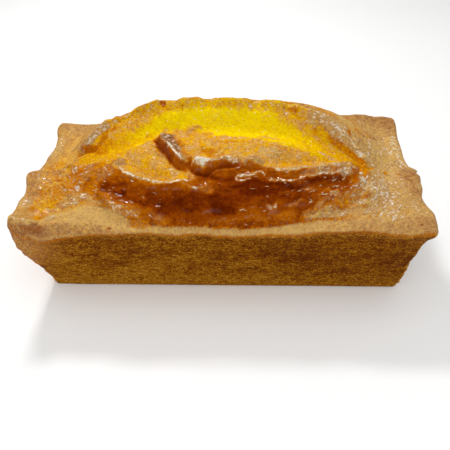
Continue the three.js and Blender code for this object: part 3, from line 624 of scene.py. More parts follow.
# bake: 0 bright yellow crumb, 0.25 golden, 0.5 tan or orange, 0.75 brown, 1 darkest glazed crust
# dust: 0 clear saturated glaze or moist crumb, 1 dull, floury tan
# gloss; mottle: how strongly the finest mottling shows; frost: dried pale glaze, and highlights and glints painted in
# the same pale colour
wide = fbm(Q, 17, 50, 2)  # of about 10 mm and more
bake = 0.47 + 0.06 * blot + 0.03 * speck + 0.05 * wide
dust = 0.88 + 0.14 * blot + 0.10 * wide
gloss = 0.08 + 0 * x
mottle = 0.45 + 0 * x
frost_and_highlight = 0 * x
dust = dust + 0.14 * smooth(70, 100, wx) - 0.16 * smooth(-84, -100, wx)
bake = bake - 0.045 * smooth(70, 100, wx) + 0.02 * smooth(-84, -100, wx)
frost_and_highlight = frost_and_highlight + (0.34 + 0.34 * speck + 0.12 * blot) * smooth(78, 98, wx)
spots = smooth(0.05, 0.40, fbm(Q, 3.4, 95, 2) + 0.5 * blot)
mottle = mottle + 0.7 * (smooth(76, 96, wx) + smooth(-84, -98, wx) * smooth(-30, -10, wy))
bake = bake + 0.07 * spots * (smooth(84, 100, wx) + smooth(-84, -98, wx))


def paint(mask, b=None, d=None, g=None, m=None, f=None):
    global bake, dust, gloss, mottle, frost_and_highlight
    mask = np.clip(mask, 0, 1)
    if b is not None:
        bake = lerp(bake, b, mask)
    if d is not None:
        dust = lerp(dust, d, mask)
    if g is not None:
        gloss = lerp(gloss, g, mask)
    if m is not None:
        mottle = lerp(mottle, m, mask)
    if f is not None:
        frost_and_highlight = lerp(frost_and_highlight, f, mask)


def along_curve(name, front, back, cut=0.1):
    d, side, along, *_ = near(PATHS[name], wx, wy, 3 * max(front, back))
    s = d / lerp(front, back, 0.5 + 0.5 * side)
    return np.exp(-s * s) * smooth(0, cut, along) * smooth(1, 1 - cut, along) * (d < 1e3)


def patch(cx, cy, rx, ry, turn=0.0):
    """A soft-edged ellipse, 1 inside."""
    c, s = math.cos(math.radians(turn)), math.sin(math.radians(turn))
    u, v = (wx - cx) * c + (wy - cy) * s, (wy - cy) * c - (wx - cx) * s
    return smooth(1.35, 0.7, np.hypot(u / rx, v / ry) + 0.18 * speck)


def stroke(points, half):
    """A soft line through a few plan points, 1 along its middle."""
    d, side, along, *_ = near(curve(points, 24), wx, wy, 3 * half)
    return np.exp(-((d / half) ** 2)) * smooth(0, 0.15, along) * smooth(1, 0.85, along) * (d < 1e3)


paint(0.5 * patch(112, 44, 16, 9, 10), 0.58 + 0.10 * speck + 0.08 * blot, 0.95, 0.10, 0.9)
paint(0.9 * patch(104, 49.6, 15, 3.6), 0.58 + 0.22 * spots + 0.12 * speck, 1.0, 0.15, 1.2, 0.24 + 0.35 * speck)
paint(0.9 * patch(121, 51.0, 7.5, 6.5), 0.62 + 0.16 * spots + 0.08 * speck, 1.0, 0.15, 1.1, 0.18 + 0.3 * speck)
paint(0.85 * patch(97, 24.5, 14, 3.8, 42), 0.58 + 0.26 * spots + 0.14 * speck, 0.95, 0.15, 1.2, 0.16 + 0.4 * speck)
paint(0.7 * patch(86, 44, 9, 4.5), 0.54 + 0.18 * spots, 0.85, 0.15, 1.0)
paint(0.6 * patch(122, 6, 5, 12), 0.60 + 0.12 * speck, 0.85, 0.10, 1.0)
paint(0.85 * patch(120.4, -8.4, 4.4, 1.6, 6), 0.68 + 0.10 * speck, 0.25, 0.3, 0.9, 0.0)
paint(0.8 * patch(115.6, -3.2, 1.5, 1.2), 0.66, 0.1, 0.3, 0.8, 0.0)
paint(0.8 * patch(106.6, -3.6, 1.4, 1.8), 0.54, 0.0, 0.3, 0.8, 0.0)
paint(0.5 * patch(118, -24, 8, 16), 0.58 + 0.12 * speck, 0.88, 0.12, 1.0)
paint(0.6 * patch(112, 22, 7, 9), 0.40 + 0.06 * speck, 0.75, 0.10, 0.7)
paint(0.6 * patch(-100, 48, 22, 6), 0.56 + 0.08 * speck + 0.06 * blot, 0.95, 0.10, 0.8)
# left end: mottled orange and brown, glossy in spots
left_zone = smooth(-74, -88, wx) * smooth(6, -3, wy + 0.25 * (wx + 100)) * smooth(-46, -40, wy + 0.22 * (wx + 100)) * smooth(-126, -120, wx)
paint(left_zone, 0.46 + 0.15 * blot + 0.10 * speck, 0.38 - 0.35 * blot + 0.25 * speck, 0.40 + 0.3 * speck, 1.0, 0.10 + 0.35 * speck)
paint(0.8 * patch(-108, 11, 9, 7, 50), 0.37 + 0.08 * speck, 0.45, 0.2, 0.6)
paint(0.7 * patch(-108, 31, 3.0, 11, -12), 0.38, 0.62, 0.15, 0.5)
paint(0.8 * patch(-108, -33, 9, 6, 60), 0.40 + 0.10 * speck, 0.16 + 0.2 * speck, 0.55, 1.0, 0.05)
paint(0.9 * patch(-112, -44.5, 5.5, 2.4, 20), 0.44 + 0.08 * speck, 0.02, 0.7, 0.9, 0.0)
paint(0.8 * patch(-106.5, -12, 2.6, 2.2), 0.66, 0.1, 0.5, 0.8)
paint(0.7 * patch(-96, -14, 5, 3, 30), 0.44 + 0.1 * speck, 0.08, 0.5, 0.9)
paint(0.8 * patch(-121, -18, 3.4, 13), 0.60 + 0.12 * blot, 0.75, 0.12, 0.9, 0.0)
paint(0.7 * patch(-113, -4, 5, 3), 0.58 + 0.1 * blot, 0.6, 0.2, 0.9)
# the glazed foot of the left end, whitish where it catches the light
paint(0.75 * patch(-91, -33, 12, 4.5, 14), 0.52 + 0.10 * speck, 0.75, 0.8, 0.9, 0.30 + 0.6 * speck)
paint(0.6 * patch(-102, -38, 6, 3.5, 40), 0.48 + 0.10 * speck, 0.55, 0.7, 0.9, 0.15 + 0.5 * speck)
thin_run = np.stack([flow_u / 7, flow_v / 1.5, 0 * x], 1)
thin_streaks = noise(thin_run, 1.0, 88) + 0.4 * noise(thin_run, 0.5, 89)
glazed_foot = bell(foot, -0.5, 5.2) * smooth(-54, -64, wx) * smooth(-113, -106, wx) * smooth(-0.2, 0.3, blot + 0.35)
paint(0.7 * glazed_foot * smooth(0.0, 0.35, -thin_streaks), 0.58 + 0.08 * speck, 0.15, 0.7, 0.9, 0.0)
paint(0.9 * glazed_foot * smooth(0.26, 0.46, thin_streaks + 0.25 * speck), 0.50, 0.6, 0.9, 0.9, 0.66)
# right end of the front shelf
right_zone = smooth(74, 88, wx) * smooth(-12, -20, wy) * smooth(-52, -46, wy) * smooth(122, 108, wx)
paint(right_zone, 0.49 + 0.08 * speck + 0.05 * blot, 0.95, 0.35 + 0.3 * speck, 1.0, 0.24 + 0.40 * speck)
# pale streaks along the crust: dried glaze with painted highlights
long_streaks = noise(np.stack([flow_u / 12, flow_v / 1.7, 0 * x], 1), 1.0, 96) + 0.3 * speck
paint(0.85 * right_zone * smooth(0.16, 0.42, long_streaks) * smooth(110, 98, wx), 0.46, 1.0, 0.7, 0.9, 0.72)
m = smooth(34, 52, wx) * smooth(116, 104, wx) * smooth(1.5, -1.5, foot) * smooth(-53.5, -51.0, wy - 0.02 * (wx - 60))
paint(0.75 * m * smooth(56, 48, wx), 0.52 + 0.12 * speck + 0.06 * blot, 0.22 + 0.5 * speck, 0.4, 1.1, 0.16 + 0.35 * speck)
paint(0.7 * right_zone * smooth(0.22, 0.48, -long_streaks) * smooth(100, 90, wx), 0.60 + 0.08 * speck, 0.15, 0.4, 0.9, 0.0)
paint(0.8 * patch(86, -36, 15, 4.6, 6) * smooth(0.25, -0.15, thin_streaks), 0.50 + 0.08 * speck, 0.95, 0.6, 1.0, 0.30 + 0.5 * speck)
paint(0.9 * patch(97, -22, 6.5, 12, 22) * smooth(0.5, 0.1, thin_streaks), 0.50 + 0.08 * speck, 1.0, 0.5, 1.0, 0.40 + 0.4 * speck + 0.25 * blot)
paint(0.85 * stroke([(66, -42.6), (73, -39.4), (80, -35.6), (87, -32), (94, -30.6)], 1.1) * smooth(-0.5, 0.1, speck), 0.62, 0.05, 0.5, 0.8, 0.0)
paint(0.7 * stroke([(73, -43.6), (81, -40.4), (89, -37.4), (96, -34.4)], 0.8) * smooth(-0.4, 0.2, speck), 0.56, 0.05, 0.5, 0.8, 0.0)
m = smooth(64, 74, wx) * smooth(116, 108, wx) * bell(wy, -44.6 + 0.14 * np.maximum(wx - 88, 0), 2.5) * smooth(-0.12, 0.22, speck + 0.6 * blot + 0.3 * thin_streaks)
paint(0.95 * m, 0.35 + 0.10 * speck, 0.04, 0.4, 0.7, 0.0)
m = smooth(-58, -48, wx) * smooth(-12, -22, wx) * smooth(1.2, -1.0, foot) * smooth(-54.0, -52.5, wy)
paint(0.8 * m, 0.45 + 0.10 * speck, 0.30 + 0.4 * speck, 0.4, 1.0, 0.05)
paint(0.8 * patch(-60, -46.8, 15, 3.0, -20), 0.54 + 0.14 * speck, 0.25 + 0.45 * speck, 0.4, 1.1, 0.18 + 0.35 * speck)
# the dome behind the split
behind = smooth(15, 21, wy + 0 * wx) * in_dome
paint(behind, 0.46 + 0.07 * smooth(23, 30, wy) + 0.12 * blot + 0.08 * speck, 0.50 - 0.3 * blot, 0.35, 0.8)
# inner crumb, from the lips of the crust to the back lip
inner = smooth(-0.3, 0.9, lip) * smooth(20, 14, wy) * smooth(-104, -92, wx) * smooth(97, 89, wx)
tan = np.clip(0.5 + 1.35 * blot + 0.7 * speck, 0, 1)
paint(inner, 0.335 + 0.10 * tan, 0.11 + 0.46 * tan, 0.08 + 0.10 * speck, 0.75, 0.20 + 0.38 * speck)
# drier and browner near the lips
paint(inner * 0.6 * smooth(5.0, 0.5, lip) * smooth(-16, 0, wx), 0.44 + 0.08 * speck, 0.72, 0.3, 1.0, 0.05)
paint(inner * 0.7 * patch(36, -14, 6, 3.6), 0.52 + 0.06 * speck, 0.55, 0.2, 1.0)
# the split's bright floor
crack_mid = np.interp(wx, [-104, -90, -80, -66, -50, -37, -27, -18, -9, -3, 6, 16, 26, 36, 47, 56, 64, 76, 88], [-1, 0, 0, -0.5, 2.4, 9.6, 10.3, 11, 10.5, 7, 6.8, 5.8, 3.6, 0.6, -3, -5.5, -8, -9, -10])
crack_half = np.interp(wx, [-104, -90, -80, -66, -50, -37, -27, -18, -9, -3, 6, 16, 26, 36, 47, 56, 64, 76, 88], [1, 4, 5, 6.5, 8.5, 4.2, 4.2, 4.6, 6, 9.5, 9.8, 9.8, 10.6, 11, 10.8, 10, 8, 6, 2])
away = np.abs(wy - crack_mid) / crack_half
bright = np.interp(wx, [-104, -92, -80, -66, -50, -32, -12, 12, 36, 50, 62, 78, 90], [0.44, 0.40, 0.35, 0.26, 0.15, 0.04, 0.0, 0.0, 0.05, 0.13, 0.22, 0.34, 0.46])
ragged_front = smooth(0.2, 1.0, (crack_mid - wy) / crack_half)
bright_floor = smooth(1.35, 0.65, away + (0.30 + 0.22 * ragged_front) * blot + (0.16 + 0.10 * ragged_front) * speck) * smooth(-108, -100, wx) * smooth(95, 90, wx)
m = bright_floor
paint(m, bright - 0.03 + ragged_front * (0.07 + 0.16 * blot + 0.06 * speck) + 0.07 * speck + 0.08 * blot + 0.05 * wide + 0.10 * smooth(0.5, 1.2, away) + 0.05 * smooth(20, 60, wx), 0.05 + 0.03 * smooth(4, 34, wx) + 0.20 * speck + 0.22 * blot + 0.25 * smooth(0.55, 1.1, away), 0.15, 0.85, 0.14 + 0.04 * smooth(4, 34, wx) + 0.30 * speck)
paint(0.9 * bell(wy, 17.5, 4.5) * smooth(-100, -92, wx) * smooth(-46, -60, wx), 0.42 + 0.16 * speck + 0.10 * blot, 0.20 + 0.4 * speck, 0.3, 1.1, 0.26 + 0.40 * speck)
# left of the split, golden again down to the lip's knob
paint(0.8 * inner * smooth(-58, -68, wx) * smooth(9, 3, wy), 0.34 + 0.08 * speck, 0.10 + 0.2 * speck, 0.3, 0.8)
# the back lip's front face: golden with brown flecks
m = bell(wy, 17.5, 3.2) * smooth(-84, -66, wx) * smooth(66, 54, wx)
paint(0.85 * m, 0.28 + 0.08 * smooth(-20, -60, wx) + 0.15 * speck + 0.12 * blot, 0.26 + 0.4 * speck, 0.3, 1.2, 0.32 + 0.4 * speck)
m = bell(wy, 21.0, 2.6) * smooth(-88, -74, wx) * smooth(60, 44, wx)
paint(0.8 * m, 0.33 + 0.18 * speck + 0.14 * blot, 0.26 + 0.35 * speck, 0.35, 1.2, 0.34 + 0.4 * speck)
paint(0.9 * bell(wy, 21.5, 0.6) * smooth(-84, -80, wx) * smooth(-36, -44, wx) * smooth(-0.6, 0.1, blot + 0.3 * speck), 0.88, 0.10, 0.35, 0.4)
paint(0.7 * bell(wy, 22.6, 0.9) * smooth(-92, -76, wx) * smooth(72, 56, wx) * smooth(-0.5, 0.6, blot + 0.4), 0.70, 0.15, 0.35, 0.5)
paint(0.8 * patch(44, 14.5, 3.2, 1.6, -10), 0.60, 0.05, 0.3, 0.8)
# a painted shadow in a notch of the torn back lip
paint(0.9 * patch(-38.2, 19.6, 1.5, 2.8, 20), 0.80, 0.0, 0.4, 0.5)

# glazed crust
level = 0.74 + 0.215 * core + 0.07 * speck + 0.08 * blot
level = level - 0.07 * smooth(5, 0.6, foot) * smooth(-0.5, 0.5, blot + 0.6 * speck) - 0.02 * smooth(-5, -1, lip)
level = level - 0.07 * smooth(50, 74, wx) * (1 - core) - 0.05 * smooth(-36, -52, wx) * smooth(-6, -1, lip)
level = level - 0.16 * smooth(-70, -84, wx) - 0.08 * smooth(80, 90, wx)
paint(crust, level, 0.02 + 0.08 * blot, 0.85, 0.42, 0.0)
# its left end is duller
m = crust * smooth(-61, -70, wx) * smooth(-28, -24, wy - 0.25 * (wx + 70))
paint(0.75 * m * smooth(-94, -84, wx), 0.60 + 0.08 * blot, 0.62 + 0.2 * speck, 0.55, 0.8, 0.05 + 0.2 * speck)
paint(0.8 * crust * patch(-63, -33.6, 8, 2.6, -8), 0.88, 0.0, 0.7, 0.3, 0.0)
paint(0.7 * crust * patch(-83, -22, 6, 7, 30), 0.54 + 0.10 * speck, 0.25 + 0.2 * speck, 0.6, 1.0, 0.05 + 0.3 * speck)
# orange-brown rolls under the middle lip
paint(0.8 * crust * patch(-2, -24.4, 13, 1.5, 4), 0.70 + 0.04 * speck, 0.0, 0.4, 0.4)
paint(0.7 * crust * patch(20, -25, 7, 1.5), 0.70, 0.1, 0.8, 0.4)
paint(0.7 * crust * patch(40, -29.4, 14, 1.6, 6), 0.70 + 0.05 * speck, 0.05, 0.9, 0.4)
paint(0.6 * crust * patch(60, -33.5, 12, 3.4, 16), 0.74 + 0.05 * blot, 0.02, 0.8, 0.5)
# streaks run with the crust towards its right end
run = np.stack([flow_u / 9, flow_v / 2.6, 0 * x], 1)
streaks = 1 - 2 * np.abs(noise(run, 1.0, 63))
fine_run = 1 - 2 * np.abs(noise(np.stack([flow_u / 14, flow_v / 2.0, 0 * x], 1), 1.0, 97))
m = crust * smooth(44, 66, wx) * smooth(-30, -34, wy - 0.35 * (wx - 70))
paint(0.75 * m * smooth(0.25, 0.8, streaks + 0.5 * speck), 0.52 + 0.08 * speck, 0.45, 0.9, 0.8, 0.20 + 0.3 * speck)
m = crust * smooth(-52, -64, wx) * smooth(7, 2, foot)
paint(0.6 * m * smooth(0.25, 0.8, streaks + 0.5 * speck), 0.56 + 0.08 * speck, 0.5, 0.9, 0.8, 0.20 + 0.4 * speck)

# mottled belt below the glaze, orange, brown and pale
belt_low = np.interp(wx, [-72, -55, -45, -33, -18, 0, 17, 35, 46, 58, 72], [-46, -50, -52, -53, -54.2, -53.8, -53.4, -52.2, -51, -50, -50])
belt = smooth(1.2, -0.8, foot + 0.8 * speck) * smooth(-0.7, 0.7, wy - belt_low) * smooth(-74, -66, wx) * smooth(84, 68, wx)
deep = smooth(-50, -38, wx) * smooth(54, 44, wx) * smooth(-52.8, -51.4, wy + 0.5 * speck)
paint(belt, 0.60 + 0.21 * deep + 0.12 * speck + 0.08 * blot, 0.14 - 0.10 * deep + 0.40 * speck, 0.5, 1.1 - 0.3 * deep, 0.16 - 0.12 * deep + 0.38 * speck)

# flap: dark outer face, dull pinkish top
d, side, along, *_ = near(PATHS["flap"], wx, wy, 16)
u = d * side
face = smooth(0.3, -0.7, u) * smooth(-5.4, -3.9, u) * (d < 1e3) * smooth(0.0, 0.06, along) * (along < 1)
paint(face, 0.78 + 0.12 * smooth(-1.5, -3.5, u) + 0.05 * speck, 0.03, 0.3, 0.5, 0.0)
top_face = smooth(-0.2, 0.6, u) * smooth(10.0 - 6 * along, 7.6 - 6 * along, u + speck) * (d < 1e3) * smooth(0.0, 0.04, along) * smooth(0.9, 0.7, along)
paint(top_face, 0.76 + 0.14 * speck + 0.10 * blot, 1.0, 0.35, 1.0, 0.10)
paint(0.8 * patch(-39.8, -2.4, 2.2, 2.4), 0.68, 0.3, 0.5, 0.6, 0.0)

# crests painted pale, as dried glaze and painted highlights, and creases painted dark as shade: strength, front and
# back half width, bake, dust, gloss, frost
CREST_HIGHLIGHTS_AND_CREASE_SHADE = {
    "front_lip": (1.0, 0.7, 0.9, 0.48, 0.90, 0.9, 0.85),
    "mid_lip": (0.9, 0.7, 1.3, 0.50, 0.80, 0.8, 0.75),
    "right_lip": (0.9, 0.9, 3.0, 0.46, 1.00, 0.5, 0.55),
    "fold_1": (0.8, 0.7, 0.8, 0.52, 0.55, 0.6, 0.60),
    "fold_2": (0.9, 0.8, 1.0, 0.50, 0.75, 1.0, 0.75),
    "fold_3": (0.6, 0.8, 1.0, 0.54, 0.55, 0.9, 0.35),
    "flap": (0.5, 0.6, 1.3, 0.54, 0.90, 0.6, 0.30),
    "flap_end": (0.7, 0.9, 1.3, 0.50, 0.80, 0.6, 0.30),
    "ledge": (0.6, 0.9, 1.0, 0.56, 0.60, 0.4, 0.10),
    "loop_up": (1.0, 0.8, 0.9, 0.48, 0.90, 0.9, 0.85),
    "loop_low": (1.0, 0.8, 0.8, 0.48, 0.90, 0.9, 0.85),
    "lip_2": (0.8, 0.7, 0.9, 0.52, 0.70, 0.9, 0.55),
    "lip_3": (0.4, 0.7, 0.8, 0.60, 0.50, 0.9, 0.30),
    "right_1": (0.5, 0.7, 0.8, 0.56, 0.60, 0.9, 0.40),
    "right_2": (0.6, 0.7, 0.9, 0.52, 0.70, 0.9, 0.40),
    "right_3": (0.7, 0.8, 0.9, 0.54, 0.70, 0.9, 0.55),
    "right_4": (0.45, 0.7, 0.8, 0.58, 0.80, 0.6, 0.30),
    "right_5": (0.85, 0.9, 1.0, 0.50, 0.80, 0.9, 0.60),
    "right_6": (0.8, 0.8, 1.0, 0.50, 0.75, 0.9, 0.55),
    "right_7": (0.7, 0.7, 0.9, 0.50, 0.75, 0.9, 0.55),
    "right_8": (0.9, 1.0, 1.1, 0.50, 0.90, 0.9, 0.75),
    "right_9": (0.7, 0.8, 0.9, 0.52, 0.75, 0.9, 0.50),
    "right_10": (0.75, 0.8, 1.0, 0.50, 0.75, 0.8, 0.45),
    "right_11": (0.6, 0.8, 1.0, 0.50, 0.65, 0.8, 0.35),
    "right_12": (0.5, 0.8, 1.0, 0.52, 0.70, 0.6, 0.30),
    "right_13": (0.5, 0.8, 0.9, 0.52, 0.70, 0.7, 0.35),
    "low_1": (0.9, 0.7, 0.8, 0.50, 0.80, 0.6, 0.80),
    "low_2": (0.8, 0.7, 0.8, 0.50, 0.80, 0.6, 0.65),
    "low_3": (0.7, 0.7, 0.8, 0.52, 0.70, 0.9, 0.50),
    "low_4": (0.8, 0.8, 0.9, 0.50, 0.80, 0.9, 0.60),
    "left_curl": (0.7, 0.8, 1.2, 0.60, 0.60, 0.7, 0.25),
    "arch": (0.75, 0.7, 1.0, 0.58, 0.65, 0.2, 0.00),
    "inner_ridge": (0.6, 0.8, 1.0, 0.42, 0.90, 0.5, 0.30),
    "neck_gap": (0.9, 1.2, 1.1, 0.94, 0.00, 0.4, 0.00),
    "inner_gap": (0.7, 1.1, 1.2, 0.60, 0.10, 0.3, 0.00),
    "inner_line": (0.35, 1.1, 1.3, 0.50, 0.20, 0.2, 0.00),
    "bump_gap": (0.6, 1.2, 1.1, 0.80, 0.00, 0.8, 0.00),
    "mid_crease": (0.9, 2.0, 1.8, 0.92, 0.00, 0.5, 0.00),
    "end_gap": (0.5, 2.4, 2.2, 0.56, 0.04, 0.35, 0.00),
    "left_tear": (0.85, 2.4, 2.0, 0.56, 0.05, 0.35, 0.00),
    "crack_end": (0.9, 1.8, 1.6, 0.47, 0.00, 0.5, 0.00),
    "left_curl_in": (0.5, 1.3, 1.2, 0.50, 0.40, 0.8, 0.35),
}
for name, (strength, front, back, b, d_, g_, f_) in CREST_HIGHLIGHTS_AND_CREASE_SHADE.items():
    narrow = 0.8 if f_ > 0 else 1.0
    m = strength * along_curve(name, narrow * front, narrow * back, 0.06)
    paint(0.85 * m if f_ > 0 else m, b + 0.06 * speck, d_, None, None, None)
    paint(m, None, None, g_, None, (0.80 + 0.35 * speck + 0.40 * blot) * f_)
# a painted highlight along the flap's crest
d, side, along, *_ = near(PATHS["flap"], wx, wy, 8)
line = np.exp(-(((d * side - 0.3) / 0.7) ** 2)) * smooth(0.36, 0.48, along) * smooth(0.90, 0.78, along) * (d < 1e3)
paint(line, 0.44, 1.0, 0.9, 0.6, 1.0)
# painted shade: the dark hollow under the middle lip's roll, the dark neck between the flap and the middle lip, and the
# flap's shadow at its lower end
paint(0.95 * stroke([(-15.4, -27.4), (-13, -29.0), (-10, -30.4), (-7.2, -31.4), (-3, -33.0), (3, -33.6), (9, -33.8)], 2.0), 0.97, 0.0, 0.4, 0.3, 0.0)
paint(0.9 * stroke([(-19.4, -20), (-18.9, -22.4), (-18.8, -25), (-18.6, -27.6)], 1.2), 0.84, 0.05, 0.3, 0.5, 0.0)
paint(0.9 * stroke([(-30, -19.6), (-27, -22.2), (-24, -24.4), (-20.4, -26.6), (-18, -28)], 1.5), 0.70 + 0.05 * speck, 0.05, 0.3, 0.5, 0.0)
# the dull crust at the right end of the split, and the orange hollow in front of it, with painted shade in the hollow
# and a painted shadow line along the crust's outer edge
d, side, along, *_ = near(PATHS["end_lip"], wx, wy, 12)
u = d * side + 0.8 * speck + 0.5 * blot
ended = (d < 1e3) * smooth(0.0, 0.10, along) * smooth(1.0, 0.95, along)
wide_end = 1 + 0.5 * smooth(0.3, 0.6, along)
paint(ended * smooth(-7.5, -5.0, u) * smooth(-1.6, -2.8, u), 0.53 + 0.08 * blot + 0.06 * speck, 0.05, 0.3, 0.9, 0.0)
paint(0.8 * ended * smooth(-4.6, -3.2, u) * smooth(-1.6, -2.8, u) * smooth(-0.3, 0.5, blot + 0.3), 0.64, 0.02, 0.3, 0.6, 0.0)
paint(ended * smooth(-2.9, -2.1, u) * smooth(3.6 * wide_end, 2.6 * wide_end, u), 0.45 + 0.14 * speck - 0.08 * blot, 1.0, 0.45, 1.0, 0.36 + 0.40 * speck + 0.40 * blot)
paint(0.7 * ended * smooth(2.6 * wide_end, 3.6 * wide_end, u) * smooth(12, 8, u), 0.55 + 0.08 * speck, 0.95, 0.3, 1.0, 0.10 + 0.25 * speck)
paint(0.8 * patch(55, 20.0, 10, 4.0, -14), 0.56 + 0.16 * speck + 0.10 * blot, 0.80 + 0.4 * speck, 0.4, 1.1, 0.20 + 0.5 * speck)
paint(0.9 * patch(71.5, 15.6, 11.5, 4.4, -8), 0.47 + 0.18 * speck - 0.08 * blot, 1.0, 0.45, 1.1, 0.38 + 0.45 * speck + 0.40 * blot)
paint(0.9 * patch(90.5, 7.6, 9.5, 5.0, -32), 0.47 + 0.18 * speck - 0.08 * blot, 1.0, 0.45, 1.1, 0.36 + 0.45 * speck + 0.40 * blot)
paint(0.9 * patch(82.0, 11.6, 1.5, 3.4, -24), 0.58 + 0.06 * speck, 0.08, 0.35, 0.8, 0.0)
paint(0.85 * patch(63, 11.8, 8.5, 3.8, -12), 0.50 + 0.16 * speck, 0.95, 0.4, 1.1, 0.32 + 0.45 * speck + 0.3 * blot)
paint(0.9 * patch(76, 9.0, 9, 3.2, -22), 0.49 + 0.18 * speck, 1.0, 0.45, 1.1, 0.40 + 0.45 * speck + 0.4 * blot)
paint(0.7 * stroke([(70, 13.6), (75, 12.2), (80, 11.0), (85, 8.0)], 0.7) * smooth(-0.3, 0.2, speck), 0.60, 0.05, 0.35, 0.8, 0.0)
# the pale torn lip at its left end
d, side, along, *_ = near(PATHS["left_lip"], wx, wy, 8)
u = d * side + 0.6 * speck
ended = (d < 1e3) * smooth(0.02, 0.12, along) * smooth(0.62, 0.48, along)
paint(ended * smooth(-3.4, -2.6, u) * smooth(3.0, 2.2, u), 0.52 + 0.12 * speck, 1.0, 0.45, 1.0, 0.40 + 0.35 * speck)
paint(0.7 * ended * smooth(2.4, 3.2, u) * smooth(6.0, 4.6, u), 0.64 + 0.06 * speck, 0.9, 0.3, 0.8, 0.0)
paint(0.9 * patch(-88.5, 14.4, 7.6, 3.4, 26), 0.47 + 0.18 * speck + 0.06 * blot, 1.0, 0.4, 1.1, 0.44 + 0.5 * speck + 0.2 * blot)
# a painted shadow under the torn lip
paint(0.95 * patch(-89.2, 9.0, 7.6, 2.0, -26), 0.66 + 0.08 * speck, 0.03, 0.35, 0.8, 0.0)
paint(0.8 * patch(-79.0, 12.4, 3.4, 1.7, 40), 0.58 + 0.08 * speck, 0.05, 0.35, 0.8, 0.0)
paint(0.8 * patch(-83.5, 17.5, 2.2, 1.6), 0.74, 0.1, 0.3, 0.6, 0.0)
paint(0.8 * patch(-71.5, 13.5, 2.4, 1.8, -30), 0.66, 0.1, 0.3, 0.6, 0.0)
# the white blob and the pale line of the middle lip: dried glaze with a painted highlight
paint(patch(-11.3, -23.6, 4.8, 2.5, -2), 0.36 + 0.3 * speck, 1.0, 0.6, 0.8, 0.74 + 0.35 * speck)
paint(0.9 * along_curve("knob", 0.8, 2.2), 0.58, 1.0, 0.4, 0.9, 0.38 + 0.3 * speck)
paint(0.8 * patch(6.8, -22.2, 4.2, 1.2, -8), 0.50, 1.0, 0.4, 0.9, 0.55 + 0.4 * speck)
paint(0.95 * patch(-63.2, -17.0, 4.8, 2.9, -38), 0.55 + 0.08 * speck, 0.85, 0.4, 0.9, 0.14 + 0.2 * speck)
paint(0.8 * stroke([(-66.6, -12.4), (-68.4, -15), (-68, -18.6), (-66, -21.6)], 0.9), 0.70, 0.5, 0.4, 0.6, 0.0)
# the right lip's pale, glittery end: dried glaze with painted glints
paint(0.9 * patch(75.5, -17.6, 8.0, 2.6, 12), 0.52 + 0.12 * speck, 0.95, 0.7, 1.0, 0.42 + 0.5 * speck)
paint(0.8 * patch(84.2, -20.5, 1.7, 5.0), 0.68 + 0.05 * speck, 0.25, 0.5, 0.8, 0.0)
paint(0.6 * patch(74, -20.5, 6.5, 2.6, 30), 0.54 + 0.1 * speck, 0.7, 0.9, 1.0, 0.35 + 0.6 * speck)

paint(0.9 * patch(-66, -39.6, 11, 4.0, -34), None, None, 0.25)
glint = 0.26 * crust + 0.34 * left_zone + 0.46 * right_zone + 0.26 * belt
glint = glint + 0.12 * patch(-90, -33, 13, 6, 14) + 0.02 * patch(-78, -27, 14, 9, 20) - 0.12 * patch(-86, -14, 12, 8) + 0.10 * patch(-46, -44, 24, 5)
glint = glint + 0.16 * patch(66, -29, 22, 9, 26) + 0.10 * patch(38, -37, 18, 8) - 0.12 * core * smooth(60, 30, np.abs(wx))
glint = glint + 0.24 * inner * (1 - bright_floor) + 0.30 * top_face
glint = glint * (1 - smooth(19, 24, y) * smooth(58, 48, x))
gloss = gloss * (1 - 0.9 * smooth(20, 26, y))
glint = glint * (1 - patch(-82.2, -26.5, 6, 4.4, 20)) * (1 - patch(81.1, -21.5, 4, 5, -20))
